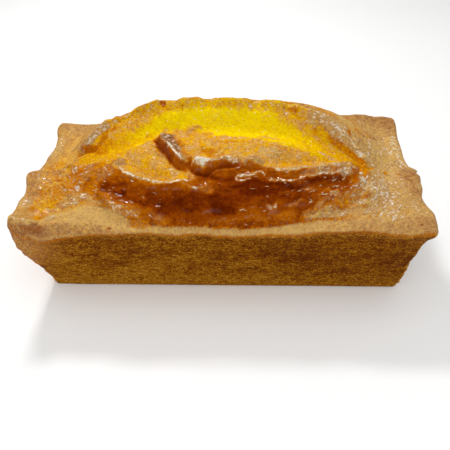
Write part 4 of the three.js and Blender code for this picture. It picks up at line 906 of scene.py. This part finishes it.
# small local differences of colour, painted shade and painted highlights among them: strength, place, size, turn, bake,
# dust, frost
SPOTS = [
    (0.8, -51, -38, 7.5, 3.4, -32, 0.78, 0.03, 0.00),
    (1.0, -82.2, -26.5, 5.0, 3.4, 20, 0.64, 0.00, 0.00),
    (0.8, -70.2, -38.0, 4.6, 2.4, -24, 0.66, 0.05, 0.00),
    (0.7, -90.0, -28.0, 4.0, 2.6, 0, 0.56, 0.40, 0.10),
    (0.8, -48.6, -51.4, 6.5, 2.2, -8, 0.58, 0.25, 0.00),
    (0.8, -82.2, 16.7, 6.5, 2.6, 8, 0.50, 1.00, 0.46),
    (0.8, -8.1, -38.4, 4.0, 1.7, -6, 0.60, 0.35, 0.20),
    (0.7, -6.9, -16.3, 4.4, 2.0, 4, 0.52, 0.10, 0.00),
    (0.8, 39.6, -13.6, 5.0, 2.0, 0, 0.50, 0.45, 0.10),
    (0.7, 29.0, -17.0, 7.0, 2.8, 0, 0.40, 0.85, 0.28),
    (0.9, 71.8, -31.6, 6.0, 2.8, 30, 0.84, 0.05, 0.00),
    (1.0, 81.1, -21.5, 2.8, 4.0, -20, 0.68, 0.00, 0.00),
    (0.8, 88.5, -23.2, 5.0, 4.6, 0, 0.50, 1.00, 0.44),
    (0.8, 61.5, -24.6, 6.5, 1.7, 20, 0.54, 0.90, 0.42),
    (0.7, 51.0, -28.0, 5.0, 1.4, 16, 0.58, 0.70, 0.34),
    (0.7, 26.0, -26.8, 6.0, 1.5, -18, 0.76, 0.05, 0.00),
    (0.9, -18.4, -30.4, 3.4, 1.7, -20, 0.46, 0.50, 0.10),
    (0.8, 52.5, -46.6, 4.5, 2.0, 6, 0.56, 0.50, 0.20),
    (0.9, 59.0, -46.6, 6.0, 1.8, 8, 0.41, 1.00, 0.42),
    (0.9, 67.2, -45.8, 7.0, 1.8, 6, 0.40, 0.95, 0.42),
    (0.8, 61.0, 10.6, 6.5, 3.0, -14, 0.44, 1.00, 0.44),
    (0.8, 70.0, 8.4, 6.0, 2.6, -14, 0.45, 1.00, 0.44),
    (0.7, 32.0, -30.5, 5.0, 1.5, 0, 0.84, 0.00, 0.00),
    (0.85, 21.0, -37.6, 10.0, 4.0, 0, 1.00, 0.00, 0.00),
    (0.8, 67.0, -45.4, 10.0, 2.6, 4, 0.53, 0.95, 0.34),
    (0.8, 84.0, -43.4, 10.0, 2.8, 6, 0.52, 0.95, 0.32),
    (0.9, 103.6, -20.0, 5.5, 14.0, 4, 0.50, 1.00, 0.46),
    (0.8, 103.0, -38.6, 7.5, 5.0, 0, 0.49, 1.00, 0.38),
    (0.9, -121.0, 28.0, 4.4, 12.0, 0, 0.41, 1.00, 0.42),
    (0.8, -41.7, -47.2, 5.5, 2.0, 0, 0.74, 0.05, 0.00),
    (0.8, -20.0, -49.2, 12.0, 1.3, -3, 0.88, 0.02, 0.00),
    (0.8, 17.3, -50.7, 7.0, 1.5, 0, 0.86, 0.02, 0.00),
    (0.8, 39.0, -48.0, 6.5, 1.8, 6, 0.62, 0.12, 0.05),
    (0.8, -35.9, -50.2, 5.0, 1.7, 0, 0.60, 0.25, 0.10),
    (0.9, 49.3, -44.0, 5.5, 2.0, 14, 0.86, 0.02, 0.00),
    (0.9, 64.0, 5.4, 5.5, 2.8, -34, 0.28, 0.08, 0.10),
    (0.8, 74.4, -22.6, 5.6, 1.9, 14, 0.54, 1.00, 0.52),
    (0.9, 122.8, 24.0, 3.6, 20.0, 0, 0.42, 1.00, 0.50),
    (1.0, 124.6, -14.0, 2.8, 4.4, 0, 0.36, 1.00, 0.75),
    (0.8, 30.0, -0.8, 8.0, 2.2, -8, 0.33, 0.50, 0.25),
    (0.8, 8.0, -5.0, 8.0, 2.2, 0, 0.43, 0.62, 0.34),
    (0.8, 65.6, -8.8, 6.0, 2.0, -14, 0.43, 0.80, 0.42),
    (0.7, -1.6, 10.4, 8.0, 3.6, 0, 0.00, 0.35, 0.10),
    (0.7, -40.0, 14.2, 4.0, 2.6, 0, 0.31, 0.08, 0.00),
    (0.8, -77.4, 5.0, 5.0, 2.4, -10, 0.46, 0.03, 0.00),
    (0.8, 91.4, -35.6, 5.0, 2.4, 20, 0.44, 1.00, 0.42),
    (0.7, 95.7, -19.4, 2.4, 4.0, 0, 0.54, 0.80, 0.22),
    (0.6, 70.0, -53.8, 9.0, 0.9, 0, 0.48, 0.90, 0.10),
    (0.7, -112.4, 6.6, 4.4, 4.0, 0, 0.46, 0.20, 0.00),
    (0.9, -34.5, -46.7, 5.0, 1.7, -4, 0.93, 0.00, 0.00),
    (0.9, 2.0, -47.0, 7.5, 1.5, 0, 1.00, 0.00, 0.00),
    (0.9, 27.6, -42.8, 4.0, 2.0, 0, 0.94, 0.00, 0.00),
    (0.8, -52.5, 1.5, 6.0, 2.4, -20, 0.26, 0.03, 0.00),
    (0.8, -46.0, 3.0, 4.0, 2.0, -20, 0.32, 0.05, 0.00),
    (0.8, -59.4, -0.4, 4.0, 2.2, -30, 0.31, 0.08, 0.00),
    (0.8, -80.3, 1.5, 5.0, 2.2, -10, 0.53, 0.00, 0.00),
    (0.7, -76.2, -15.5, 4.0, 2.4, 0, 0.53, 0.02, 0.00),
    (0.6, -116.0, -12.0, 3.4, 3.0, 0, 0.47, 0.60, 0.00),
    (0.7, -28.0, 17.0, 6.0, 1.5, 0, 0.34, 0.15, 0.00),
    (0.7, -2.0, 16.4, 11.0, 1.5, 0, 0.25, 0.25, 0.00),
    (0.7, 109.8, 43.8, 9.0, 6.0, 0, 0.41, 1.00, 0.26),
    (0.7, 81.0, 24.0, 6.0, 5.0, 0, 0.39, 1.00, 0.40),
    (0.6, 72.0, -40.0, 8.0, 1.0, 8, 0.55, 0.30, 0.00),
    (0.9, -124.0, -35.4, 2.4, 3.4, 0, 0.44, 1.00, 0.60),
    (0.8, -121.8, -33.4, 4.0, 5.0, 0, 0.50, 1.00, 0.44),
]
# front shoulder: a smooth pale band above the tin's edge
above = np.interp(wx, [-125, -100, -85, -72, -60, -52, -46, -36, -20, 0, 17, 30, 38, 45, 60, 100, 122], [-47, -43.5, -40, -42, -46.0, -50.6, -52.4, -52.0, -52.1, -52.9, -52.8, -52.5, -51.8, -50.8, -51.6, -53.0, -53.0])
band = smooth(0.8, -0.8, wy - above)
paint(band, 0.42 + 0.10 * np.exp(-np.maximum(above - wy, 0) / 0.9) * smooth(-44, -34, wx) + 0.03 * bell(wx, 0, 36) + 0.06 * speck + 0.05 * blot, 0.90 + 0.2 * blot, 0.1, 0.75, 0.05 + 0.2 * speck)
m = smooth(58, 80, wx) * smooth(-47.5, -50.5, wy + 0.6 * speck)
paint(0.85 * m, 0.52 + 0.16 * speck + 0.08 * blot, 1.0, 0.2, 1.1, 0.16 + 0.35 * speck)
paint(0.85 * patch(115, -50, 15, 6), 0.55 + 0.14 * speck + 0.08 * blot, 1.0, 0.15, 1.1, 0.18 + 0.3 * speck)
paint(0.3 * stroke([(58, -54.2), (66, -53.4), (76, -53.2), (88, -54.8), (96, -55)], 1.2), 0.62 + 0.08 * speck, 0.45, 0.2, 0.9, 0.0)
paint(0.9 * patch(117, -51.4, 1.1, 0.7), 0.90, 0.2, 0.2, 0.3)
# towards the front left corner the shoulder is browner and coarser
m = smooth(-44, -66, wx) * smooth(-49.8, -53.0, wy + 0.10 * (wx + 84))
paint(0.85 * m, 0.57 + 0.20 * speck + 0.10 * blot, 0.78 + 0.3 * speck, 0.12, 1.2, 0.0)
# painted shade on the front of the rolled corner and under its lip, and a pale line of dried glaze with a painted
# highlight along the roll
m = smooth(-98, -106, wx) * smooth(-53.2, -54.6, wy)
paint(m, 0.68 + 0.12 * speck + 0.06 * blot, 0.70, 0.12, 1.0, 0.0)
d, *_ = near(PATHS["rolled"], wx, wy, 4)
paint(0.8 * patch(-113, -52.8, 7.0, 1.4), 0.78 + 0.06 * speck, 0.6, 0.15, 0.8, 0.0)
paint(0.95 * np.exp(-((d / 1.2) ** 2)), 0.38 + 0.06 * speck, 1.0, 0.3, 0.7, 0.42 + 0.3 * speck)
paint(0.8 * bell(y, -55.4, 0.5) * smooth(-84, -92, x) * smooth(-118, -112, x), 0.42, 0.9, 0.2, 0.8, 0.42 + 0.4 * speck)
for strength, cx, cy, rx, ry, turn, b, d_, f_ in SPOTS:
    here = strength * patch(cx, cy, rx, ry, turn)
    paint(here, b + 0.10 * speck, d_ + 0.3 * speck, None, None, f_ + 0.35 * speck * (f_ > 0))
    if f_ == 0:
        gloss = gloss * (1 - 0.6 * here)
# a painted shadow at the foot of the flap, behind and right of it
paint(0.8 * stroke([(-28, -5.4), (-25.6, -10), (-23.4, -14.6), (-20.6, -18.6), (-17, -20.6)], 2.0), 0.53 + 0.06 * speck, 0.15, 0.3, 0.9, 0.0)
# the rim's edges are browner
rim_near = np.exp(-np.maximum(np.minimum(np.minimum(y + B, B - y), np.minimum(x + A, A - x)), 0) / 2.2)
bump_brown = bell(y, -9, 8) * np.exp(-(x + A) / 8) + bell(y, -5, 6) * np.exp(-(A - x) / 8)
bump_brown = bump_brown + bell(y, 50, 8) * smooth(96, 108, x) * 0.8 + bell(y, -22, 12) * np.exp(-(A - x) / 7) * 0.6 + bell(y, -52, 6) * bell(x, 120, 8)
edge_brown = np.clip(0.5 * rim_near * (1 + 0.6 * blot) + 0.6 * bump_brown * (1 + 0.8 * blot), 0, 1)
paint(edge_brown * (1 - 0.8 * smooth(-50, -54, y)), 0.64 + 0.06 * speck, 0.90, 0.12, 0.7, 0.0)
paint(0.65 * smooth(-55.6, -56.2, y + 0.45 * speck) * smooth(-78, -52, x), 0.70 + 0.08 * speck, 0.16 + 0.3 * speck, 0.15, 0.8, 0.0)
paint(0.7 * patch(121.5, -7, 4.2, 9), 0.63 + 0.16 * speck + 0.10 * blot, 0.92, 0.2, 1.1, 0.05)
paint(0.6 * patch(121, -21, 3.4, 3), 0.64 + 0.14 * speck, 0.90, 0.2, 1.0, 0.05)
paint(0.8 * patch(-66, -53.5, 1.6, 0.7, 20) + 0.7 * patch(-64, -41.5, 0.9, 0.7), 0.85, 0.3, 0.2, 0.3)

# ------------------------------------------------------------------------------------------------ fine relief
n_torn = fbm(Q, (3.2, 2.4, 2.8), 62, 3, 0.62)
n_crumb = fbm(Q, 1.7, 61, 2, 0.6)
pit_small = pits(Q, 2.6, 0.75, 0.45, 64)
pit_large = pits(Q, 9.0, 1.5, 0.35, 65)
relief = 0.06 * n_crumb
relief = relief + inner * (0.30 * noise(Q, 6.0, 81) + 0.42 * n_torn + 0.16 * n_crumb - 0.34 * pit_small)
relief = relief + crust * (0.50 * streaks * (0.35 + 0.8 * smooth(8, 50, np.abs(wx - 5))) + 0.40 * noise(Q, 6.5, 80) + 0.34 * noise(Q, 3.2, 66) + 0.20 * noise(Q, 1.7, 78))
dull = (1 - crust) * (1 - inner)
relief = relief + dull * (0.10 * n_torn + 0.20 * noise(Q, 6.0, 67) - 0.30 * pit_small * smooth(-0.1, 0.5, blot) - 0.30 * pit_large)
relief = relief + (left_zone + 0.5 * right_zone) * (0.42 * fbm(Q, (3.0, 4.5, 3.4), 68, 2) - 0.3 * pit_small)
relief = relief + behind * (0.3 * fbm(Q, 6.0, 69, 2))
relief = relief + top_face * (0.60 * n_torn + 0.3 * n_crumb - 0.3 * pit_small)
relief = relief * is_top * (1 - 0.6 * band * (1 - is_wall))

# walls: fine pores drawn out along the tin, a few open pits, a ragged edge
streak = fbm(Q, (8.0, 8.0, 1.5), 71, 3, 0.65)
streak_2 = fbm(Q, (3.4, 3.4, 1.0), 72, 2, 0.6)
pores = pits(Q, (3.4, 3.4, 1.9), 0.8, 0.5, 73)
share = np.clip(P[:, 2] / 62.5, 0, 1)
ragged = bell(share, 0.5, 0.6) * 0.25 * fbm(Q, 3.5, 74, 2)
ragged = ragged + smooth(0.3, 0.7, np.abs(N0[:, 0])) * smooth(1.0, 0.8, share) * 1.25 * fbm(Q, (4.6, 4.6, 3.8), 93, 3, 0.65)
relief = relief + is_wall * (0.14 * streak + 0.16 * streak_2 - 0.40 * pores + ragged) * smooth(0.0, 0.06, share)
P = P + N0 * relief[:, None]
P[is_base > 0, 2] = 0
P[:, 2] = np.maximum(P[:, 2], 0)

# walls: colour numbers.
large = fbm(Q, (34, 34, 13), 75, 2)
medium_patches = fbm(Q, (11, 11, 5), 90, 2)
# the wall is painted lighter towards the foot, as light bounced from the floor
w_bake = 0.68 + 0.08 * streak + 0.08 * streak_2 + 0.15 * smooth(-0.1, 0.5, large + 0.5 * medium_patches) * bell(share, 0.52, 0.26) + 0.26 * pits(Q, (2.4, 2.4, 1.6), 0.55, 0.55, 94) * smooth(-0.25, 0.4, large + 0.8 * medium_patches) + 0.10 * medium_patches - 0.09 * smooth(0.38, 0.05, share) + 0.16 * pores
w_bake = w_bake + 0.10 * smooth(10, 60, P[:, 0]) * bell(share, 0.5, 0.5) + 0.13 * bell(P[:, 0], 22, 26) * bell(share, 0.72, 0.18) - 0.03 * smooth(-20, -60, P[:, 0])
w_bake = w_bake + 0.08 * smooth(-34, -58, P[:, 0]) * smooth(-112, -96, P[:, 0]) * bell(share, 0.78, 0.2) * (P[:, 1] < 0)
# lighter at the rim itself, and a little darker just under it as painted shade of the rim's edge
w_bake = w_bake - 0.10 * bell(share, 1.0, 0.04) + 0.05 * bell(share, 0.9, 0.06)
# pale flecks under the rim
fleck = pits(Q, (4.2, 4.2, 3.0), 0.7, 0.10, 79) * smooth(0.7, 0.85, share)
w_bake = w_bake - 0.6 * fleck
fleck_2 = pits(Q, (2.6, 2.6, 1.7), 0.6, 0.40, 91) * bell(share, 0.88, 0.09) * smooth(-45, -60, P[:, 0]) * smooth(-112, -95, P[:, 0])
fleck_3 = pits(Q, (3.4, 3.4, 1.6), 0.6, 0.30, 92) * bell(share, 0.68, 0.16) * smooth(62, 78, P[:, 0])
w_bake = w_bake - (0.42 * fleck_2 + 0.42 * fleck_3) * (P[:, 1] < 0)
corner_fl = np.clip(bell(P[:, 0], -A, 20) * bell(P[:, 1], -B, 13), 0, 1) * smooth(0.30, 0.62, share + 0.14 * smooth(-112, -124, P[:, 0]) - 0.1)
# painted glow: the end walls, where they turn towards the front, painted lighter, as light shining through the crumb
ends_glow = smooth(0.2, 0.6, np.abs(N0[:, 0])) * smooth(0.9, 0.5, share)
w_bake = w_bake - 0.30 * ends_glow * bell(P[:, 1], -B, 22)
# just under the tin's edge the wall is still orange
edge_glow = is_wall * smooth(3.2, 1.0, under + 0.8 * noise(Q, 7.0, 98)) * (1 - 0.5 * corner_fl)
w_bake = lerp(w_bake, 0.60 + 0.20 * bell(P[:, 0], 77, 15) + 0.18 * bell(P[:, 0], -53, 8) + 0.08 * speck, 0.75 * edge_glow)
# painted glow: the lower left end wall painted lighter and more orange, as light shining through its ragged crumb
left_end_glow = smooth(0.3, 0.7, -N0[:, 0]) * smooth(0.62, 0.35, share) * (kind == 1)
bake = np.where(is_wall > 0, lerp(w_bake, 0.61 + 0.22 * streak + 0.18 * streak_2, corner_fl), bake)
bake = lerp(bake, 0.58 + 0.2 * fbm(Q, (4.6, 4.6, 3.8), 93, 3, 0.65), left_end_glow)
bake = np.where(is_base > 0, 0.66 + 0.12 * fbm(Q, 14, 76, 3) + 0.08 * noise(Q, 2.5, 77), bake)
dust = np.where(kind > 0, np.clip(0.5 + 0.24 * corner_fl - 0.35 * left_end_glow - 0.42 * edge_glow, 0, 1), dust)
gloss = np.where(kind > 0, 0.06 + 0.10 * bell(share, 1.0, 0.06), gloss)
mottle = np.where(kind > 0, 0.6 + 0.5 * corner_fl, mottle)
frost_and_highlight = np.where(kind > 0, 0.0, frost_and_highlight)
wall = np.where(kind > 0, (1 - 0.95 * corner_fl * is_wall) * (1 - 0.8 * left_end_glow) * (1 - 0.55 * edge_glow), 0.0)

# ------------------------------------------------------------------------------------------------ Blender mesh
mesh = bpy.data.meshes.new("cake_loaf")
n_q, n_t = len(quads), len(tris)
mesh.vertices.add(len(P))
mesh.vertices.foreach_set("co", (P / 1000).astype(np.float32).ravel())
mesh.loops.add(4 * n_q + 3 * n_t)
mesh.loops.foreach_set("vertex_index", np.concatenate([quads.ravel(), tris.ravel()]).astype(np.int32))
mesh.polygons.add(n_q + n_t)
mesh.polygons.foreach_set("loop_start", np.concatenate([np.arange(n_q) * 4, 4 * n_q + np.arange(n_t) * 3]).astype(np.int32))
mesh.polygons.foreach_set("use_smooth", np.ones(n_q + n_t, bool))
mesh.update(calc_edges=True)


def attribute(name, values):
    a = mesh.attributes.new(name, "FLOAT", "POINT")
    a.data.foreach_set("value", np.clip(values, 0, 1).astype(np.float32))


attribute("bake", bake)
attribute("dust", dust)
attribute("gloss", gloss)
attribute("mottle", mottle)
attribute("frost_and_highlight", frost_and_highlight)
attribute("wall", wall)
attribute("flow_u", flow_u / 260)
attribute("flow_v", (flow_v + 50) / 120)
attribute("glint", glint)

# UV charts in one square of 410 mm: the top as seen from above, each wall as a strip, the base
SHEET = 410.0
across = {"x": plan_x[loop], "y": plan_y[loop]}
n_top = NX * NY
n_wall = (WALL_ROWS + 1) * n_loop
uv_quads = np.zeros((n_q, 4, 2))
corners = quads[:n_top]
uv_quads[:n_top] = np.stack([P[corners, 0] + A + 5, P[corners, 1] + B + 5], -1)
k = np.arange(n_wall) % n_loop
sides = np.select([k < NX, k < NX + NY, k < 2 * NX + NY], [0, 1, 2], 3)
corners = quads[n_top : n_top + n_wall]
u_x, u_y, u_z = P[corners, 0], P[corners, 1], P[corners, 2]
strips = [
    np.stack([u_x + A + 5, u_z + 125], -1),
    np.stack([u_z + 266, u_y + B + 5], -1),
    np.stack([A + 5 - u_x, u_z + 200], -1),
    np.stack([u_z + 338, B + 5 - u_y], -1),
]
uv_quads[n_top : n_top + n_wall] = np.choose(sides[:, None, None], strips)
corners = quads[n_top + n_wall :]
uv_quads[n_top + n_wall :] = np.stack([P[corners, 0] + A + 5, P[corners, 1] + BASE_WIDTH / 2 + 278], -1)
uv_tris = np.stack([P[tris, 0] + A + 5, P[tris, 1] + BASE_WIDTH / 2 + 278], -1)
uv = mesh.uv_layers.new(name="charts")
uv.data.foreach_set("uv", (np.concatenate([uv_quads.reshape(-1, 2), uv_tris.reshape(-1, 2)]) / SHEET).astype(np.float32).ravel())
mesh.validate()

loaf = bpy.data.objects.new("cake_loaf", mesh)
bpy.context.scene.collection.objects.link(loaf)


# ------------------------------------------------------------------------------------------------ material
def linear(c):
    return tuple((v / 255 / 12.92) if v / 255 <= 0.04045 else ((v / 255 + 0.055) / 1.055) ** 2.4 for v in c) + (1.0,)


class Nodes:
    def __init__(self, material):
        material.use_nodes = True
        self.tree = material.node_tree
        self.tree.nodes.clear()

    def add(self, kind, **settings):
        n = self.tree.nodes.new(kind)
        for k, v in settings.items():
            setattr(n, k, v)
        return n

    def put(self, value, socket):
        if isinstance(value, bpy.types.NodeSocket):
            self.tree.links.new(value, socket)
        elif value is not None:
            socket.default_value = value

    def math(self, op, a, b=None, c=None, clamp=False):
        n = self.add("ShaderNodeMath", operation=op, use_clamp=clamp)
        for k, v in enumerate((a, b, c)):
            if v is not None:
                self.put(v, n.inputs[k])
        return n.outputs[0]

    def around(self, fac, amount):
        """A noise value made to swing about zero by amount."""
        return self.math("MULTIPLY", self.math("SUBTRACT", fac, 0.5), amount)

    def attribute(self, name):
        return self.add("ShaderNodeAttribute", attribute_name=name).outputs["Fac"]

    def noise(self, place, scale, detail=2.0, roughness=0.55, distortion=0.0):
        n = self.add("ShaderNodeTexNoise")
        self.put(place, n.inputs["Vector"])
        n.inputs["Scale"].default_value = scale
        n.inputs["Detail"].default_value = detail
        n.inputs["Roughness"].default_value = roughness
        n.inputs["Distortion"].default_value = distortion
        return n.outputs["Fac"]

    def stretched(self, place, scale):
        n = self.add("ShaderNodeMapping")
        self.put(place, n.inputs["Vector"])
        n.inputs["Scale"].default_value = scale
        return n.outputs["Vector"]

    def ramp(self, fac, stops):
        n = self.add("ShaderNodeValToRGB")
        self.put(fac, n.inputs["Fac"])
        e = n.color_ramp.elements
        e[0].position, e[0].color = stops[0][0], linear(stops[0][1])
        e[1].position, e[1].color = stops[-1][0], linear(stops[-1][1])
        for at, colour in stops[1:-1]:
            k = e.new(at)
            k.color = linear(colour)
        return n.outputs["Color"]

    def mix_colours(self, fac, a, b):
        n = self.add("ShaderNodeMix", data_type="RGBA")
        self.tree.links.new(fac, n.inputs[0])
        self.tree.links.new(a, n.inputs[6])
        self.tree.links.new(b, n.inputs[7])
        return n.outputs[2]


material = bpy.data.materials.new("baked_cake")
g = Nodes(material)
place = g.add("ShaderNodeTexCoord").outputs["Object"]
a_bake, a_dust, a_gloss, a_mottle, a_frost_and_highlight, a_wall = (g.attribute(n) for n in ("bake", "dust", "gloss", "mottle", "frost_and_highlight", "wall"))
fine = g.noise(place, 1250, 2, 0.65)
medium = g.noise(place, 560, 2, 0.6)
other = g.noise(g.stretched(place, (560, 700, 640)), 1.0, 3, 0.7)
# fine folds and glints that run with the crust: places in mm along it and across it
flow = g.add("ShaderNodeCombineXYZ")
g.put(g.math("MULTIPLY", g.attribute("flow_u"), 260.0), flow.inputs[0])
g.put(g.math("MULTIPLY", g.attribute("flow_v"), 120.0), flow.inputs[1])
flow = flow.outputs[0]
folds = g.noise(g.stretched(flow, (0.17, 0.62, 1.0)), 1.0, 2, 0.6, 0.2)
tones = g.noise(g.stretched(flow, (0.11, 0.36, 1.0)), 1.0, 3, 0.6, 0.3)
pieces = g.noise(g.stretched(flow, (0.22, 0.5, 1.0)), 1.0, 3, 0.7)
a_glint = g.attribute("glint")
level_of = g.math("MULTIPLY_ADD", a_glint, -0.40, 0.765)
glints = g.math("MULTIPLY", g.math("SUBTRACT", g.math("ADD", folds, g.around(pieces, 0.35)), level_of), 15.0, clamp=True)
glints = g.math("MULTIPLY", glints, g.math("MULTIPLY", a_glint, 6.0, clamp=True))
glitter = g.noise(g.stretched(place, (520, 760, 760)), 1.0, 2, 0.55)
along_tin = g.noise(g.stretched(place, (260, 260, 620)), 1.0, 4, 0.7)
along_tin_2 = g.noise(g.stretched(place, (820, 820, 1150)), 1.0, 3, 0.7)

off_wall = g.math("SUBTRACT", 1.0, a_wall)
# mottling at the scale of the crumb
top_mottle = g.math("MULTIPLY", g.math("ADD", g.around(fine, 0.85), g.around(medium, 0.75)), a_mottle)
top_mottle = g.math("ADD", top_mottle, g.math("MULTIPLY", g.around(tones, 0.85), g.math("MULTIPLY", a_gloss, off_wall)))
wall_mottle = g.math("ADD", g.around(along_tin, 1.1), g.around(along_tin_2, 1.9))
tone_top = g.math("ADD", a_bake, g.math("MULTIPLY", top_mottle, g.math("MULTIPLY_ADD", a_bake, -0.5, 1.0)), clamp=True)
tone_wall = g.math("ADD", a_bake, wall_mottle, clamp=True)
dusty = g.math("ADD", g.math("MULTIPLY_ADD", a_dust, 1.6, -0.3), g.math("MULTIPLY", g.around(other, 3.6), a_mottle), clamp=True)
# the pale share: dried glaze, and glitter specks and glints painted into the colour as highlights
frost_and_highlight_share = g.math("ADD", g.around(glitter, 5.0), g.math("MULTIPLY_ADD", a_frost_and_highlight, 3.4, -1.5), clamp=True)
frost_and_highlight_share = g.math("MAXIMUM", frost_and_highlight_share, g.math("MULTIPLY", glints, 0.8))

clear = g.ramp(
    tone_top,
    [
        (0.0, (255, 222, 4)),
        (0.12, (249, 205, 3)),
        (0.25, (239, 183, 3)),
        (0.40, (224, 154, 5)),
        (0.52, (208, 124, 2)),
        (0.66, (184, 98, 1)),
        (0.80, (154, 70, 1)),
        (0.92, (124, 47, 1)),
        (1.0, (96, 30, 1)),
    ],
)
dull = g.ramp(
    tone_top,
    [
        (0.0, (246, 208, 60)),
        (0.25, (232, 186, 88)),
        (0.40, (216, 172, 102)),
        (0.50, (202, 156, 90)),
        (0.62, (182, 132, 80)),
        (0.75, (156, 104, 62)),
        (0.9, (122, 78, 36)),
        (1.0, (96, 56, 20)),
    ],
)
side = g.ramp(
    tone_wall,
    [
        (0.0, (234, 196, 120)),
        (0.2, (212, 158, 62)),
        (0.42, (186, 128, 26)),
        (0.62, (156, 98, 12)),
        (0.8, (126, 66, 5)),
        (1.0, (92, 41, 3)),
    ],
)
pale = g.ramp(tone_top, [(0.0, (255, 250, 240)), (0.5, (246, 232, 208)), (1.0, (214, 172, 122))])
top_colour = g.mix_colours(frost_and_highlight_share, g.mix_colours(dusty, clear, dull), pale)
colour = g.mix_colours(a_wall, top_colour, side)

shine = g.math("ADD", a_gloss, g.math("MULTIPLY", g.around(medium, 0.9), a_gloss), clamp=True)
rough = g.math("MULTIPLY_ADD", shine, -0.40, 0.85, clamp=True)
coat = g.math("MULTIPLY", shine, 0.8, clamp=True)

relief_top = g.math("MULTIPLY", g.math("ADD", g.math("MULTIPLY", fine, 0.75), g.math("MULTIPLY", medium, 0.9)), g.math("MULTIPLY_ADD", a_mottle, 0.9, 0.5))
relief_top = g.math("ADD", relief_top, g.math("MULTIPLY", glints, 0.35))
relief_top = g.math("ADD", relief_top, g.math("MULTIPLY", folds, g.math("MULTIPLY", a_gloss, 1.2)))
relief_wall = g.math("ADD", g.math("MULTIPLY", along_tin, 0.8), g.math("MULTIPLY", along_tin_2, 1.0))
height = g.math("ADD", g.math("MULTIPLY", relief_top, off_wall), g.math("MULTIPLY", relief_wall, a_wall))
bump = g.add("ShaderNodeBump")
bump.inputs["Strength"].default_value = 0.9
bump.inputs["Distance"].default_value = 0.0012
g.put(height, bump.inputs["Height"])

shader = g.add("ShaderNodeBsdfPrincipled")
g.put(colour, shader.inputs["Base Color"])
g.put(rough, shader.inputs["Roughness"])
g.put(coat, shader.inputs["Coat Weight"])
g.put(bump.outputs["Normal"], shader.inputs["Normal"])
shader.inputs["Coat Roughness"].default_value = 0.08
shader.inputs["Coat IOR"].default_value = 1.5
shader.inputs["IOR"].default_value = 1.45
shader.inputs["Specular IOR Level"].default_value = 0.0
shader.inputs["Metallic"].default_value = 0.0
out = g.add("ShaderNodeOutputMaterial")
g.put(shader.outputs["BSDF"], out.inputs["Surface"])
mesh.materials.append(material)

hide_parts("loaf")
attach(loaf, "root")

# ------------------------------------------------------------------------------------------------ floor, light, camera
floor_mesh = bpy.data.meshes.new("floor")
floor_mesh.from_pydata([(-4, -4, 0), (4, -4, 0), (4, 4, 0), (-4, 4, 0)], [], [(0, 1, 2, 3)])
floor = bpy.data.objects.new("floor", floor_mesh)
bpy.context.scene.collection.objects.link(floor)
pale_floor = bpy.data.materials.new("pale_floor")
pale_floor.use_nodes = True
principled = pale_floor.node_tree.nodes["Principled BSDF"]
principled.inputs["Base Color"].default_value = (0.96, 0.96, 0.95, 1)
principled.inputs["Roughness"].default_value = 0.9
floor_mesh.materials.append(pale_floor)


def lamp(name, at, to, size, power, shows_in_gloss):
    data = bpy.data.lights.new(name, "AREA")
    data.shape = "RECTANGLE"
    data.size, data.size_y = size
    data.energy = power
    o = bpy.data.objects.new(name, data)
    o.location = at
    o.rotation_euler = (Vector(to) - Vector(at)).to_track_quat("-Z", "Y").to_euler()
    o.visible_glossy = shows_in_gloss
    bpy.context.scene.collection.objects.link(o)
    return o


lamp("window", (-0.22, 0.48, 0.74), (0, 0, 0.08), (0.16, 0.10), 3.4, True)
lamp("overhead", (0.05, -0.20, 1.08), (0, 0, 0.06), (1.3, 1.1), 4.7, False)
lamp("front", (0.0, -0.95, 0.80), (0, 0, 0.06), (0.9, 0.7), 3.2, False)

world = bpy.data.worlds.new("studio")
bpy.context.scene.world = world
world.use_nodes = True
world.node_tree.nodes["Background"].inputs["Color"].default_value = (1, 1, 1, 1)
world.node_tree.nodes["Background"].inputs["Strength"].default_value = 0.42
world.cycles_visibility.glossy = False

CAMERA_YAW, CAMERA_PITCH, CAMERA_ROLL = (math.radians(v) for v in (-2.14, 44.6, -1.21))
CAMERA_AT = Vector((0.0096, -0.2416, 0.2533))
forward = Vector((math.sin(CAMERA_YAW) * math.cos(CAMERA_PITCH), math.cos(CAMERA_YAW) * math.cos(CAMERA_PITCH), -math.sin(CAMERA_PITCH)))
level_right = Vector((math.cos(CAMERA_YAW), -math.sin(CAMERA_YAW), 0))
level_up = level_right.cross(forward)
right = math.cos(CAMERA_ROLL) * level_right + math.sin(CAMERA_ROLL) * level_up
up = -math.sin(CAMERA_ROLL) * level_right + math.cos(CAMERA_ROLL) * level_up
camera_data = bpy.data.cameras.new("camera")
camera_data.sensor_width = 36.0
camera_data.lens = 453.0 / 450.0 * 36.0
camera_data.clip_start = 0.01
camera = bpy.data.objects.new("camera", camera_data)
camera.matrix_world = Matrix(
    (
        (right.x, up.x, -forward.x, CAMERA_AT.x),
        (right.y, up.y, -forward.y, CAMERA_AT.y),
        (right.z, up.z, -forward.z, CAMERA_AT.z),
        (0, 0, 0, 1),
    )
)
bpy.context.scene.collection.objects.link(camera)
bpy.context.scene.camera = camera
bpy.context.scene.view_settings.view_transform = "Standard"
bpy.context.scene.view_settings.look = "None"
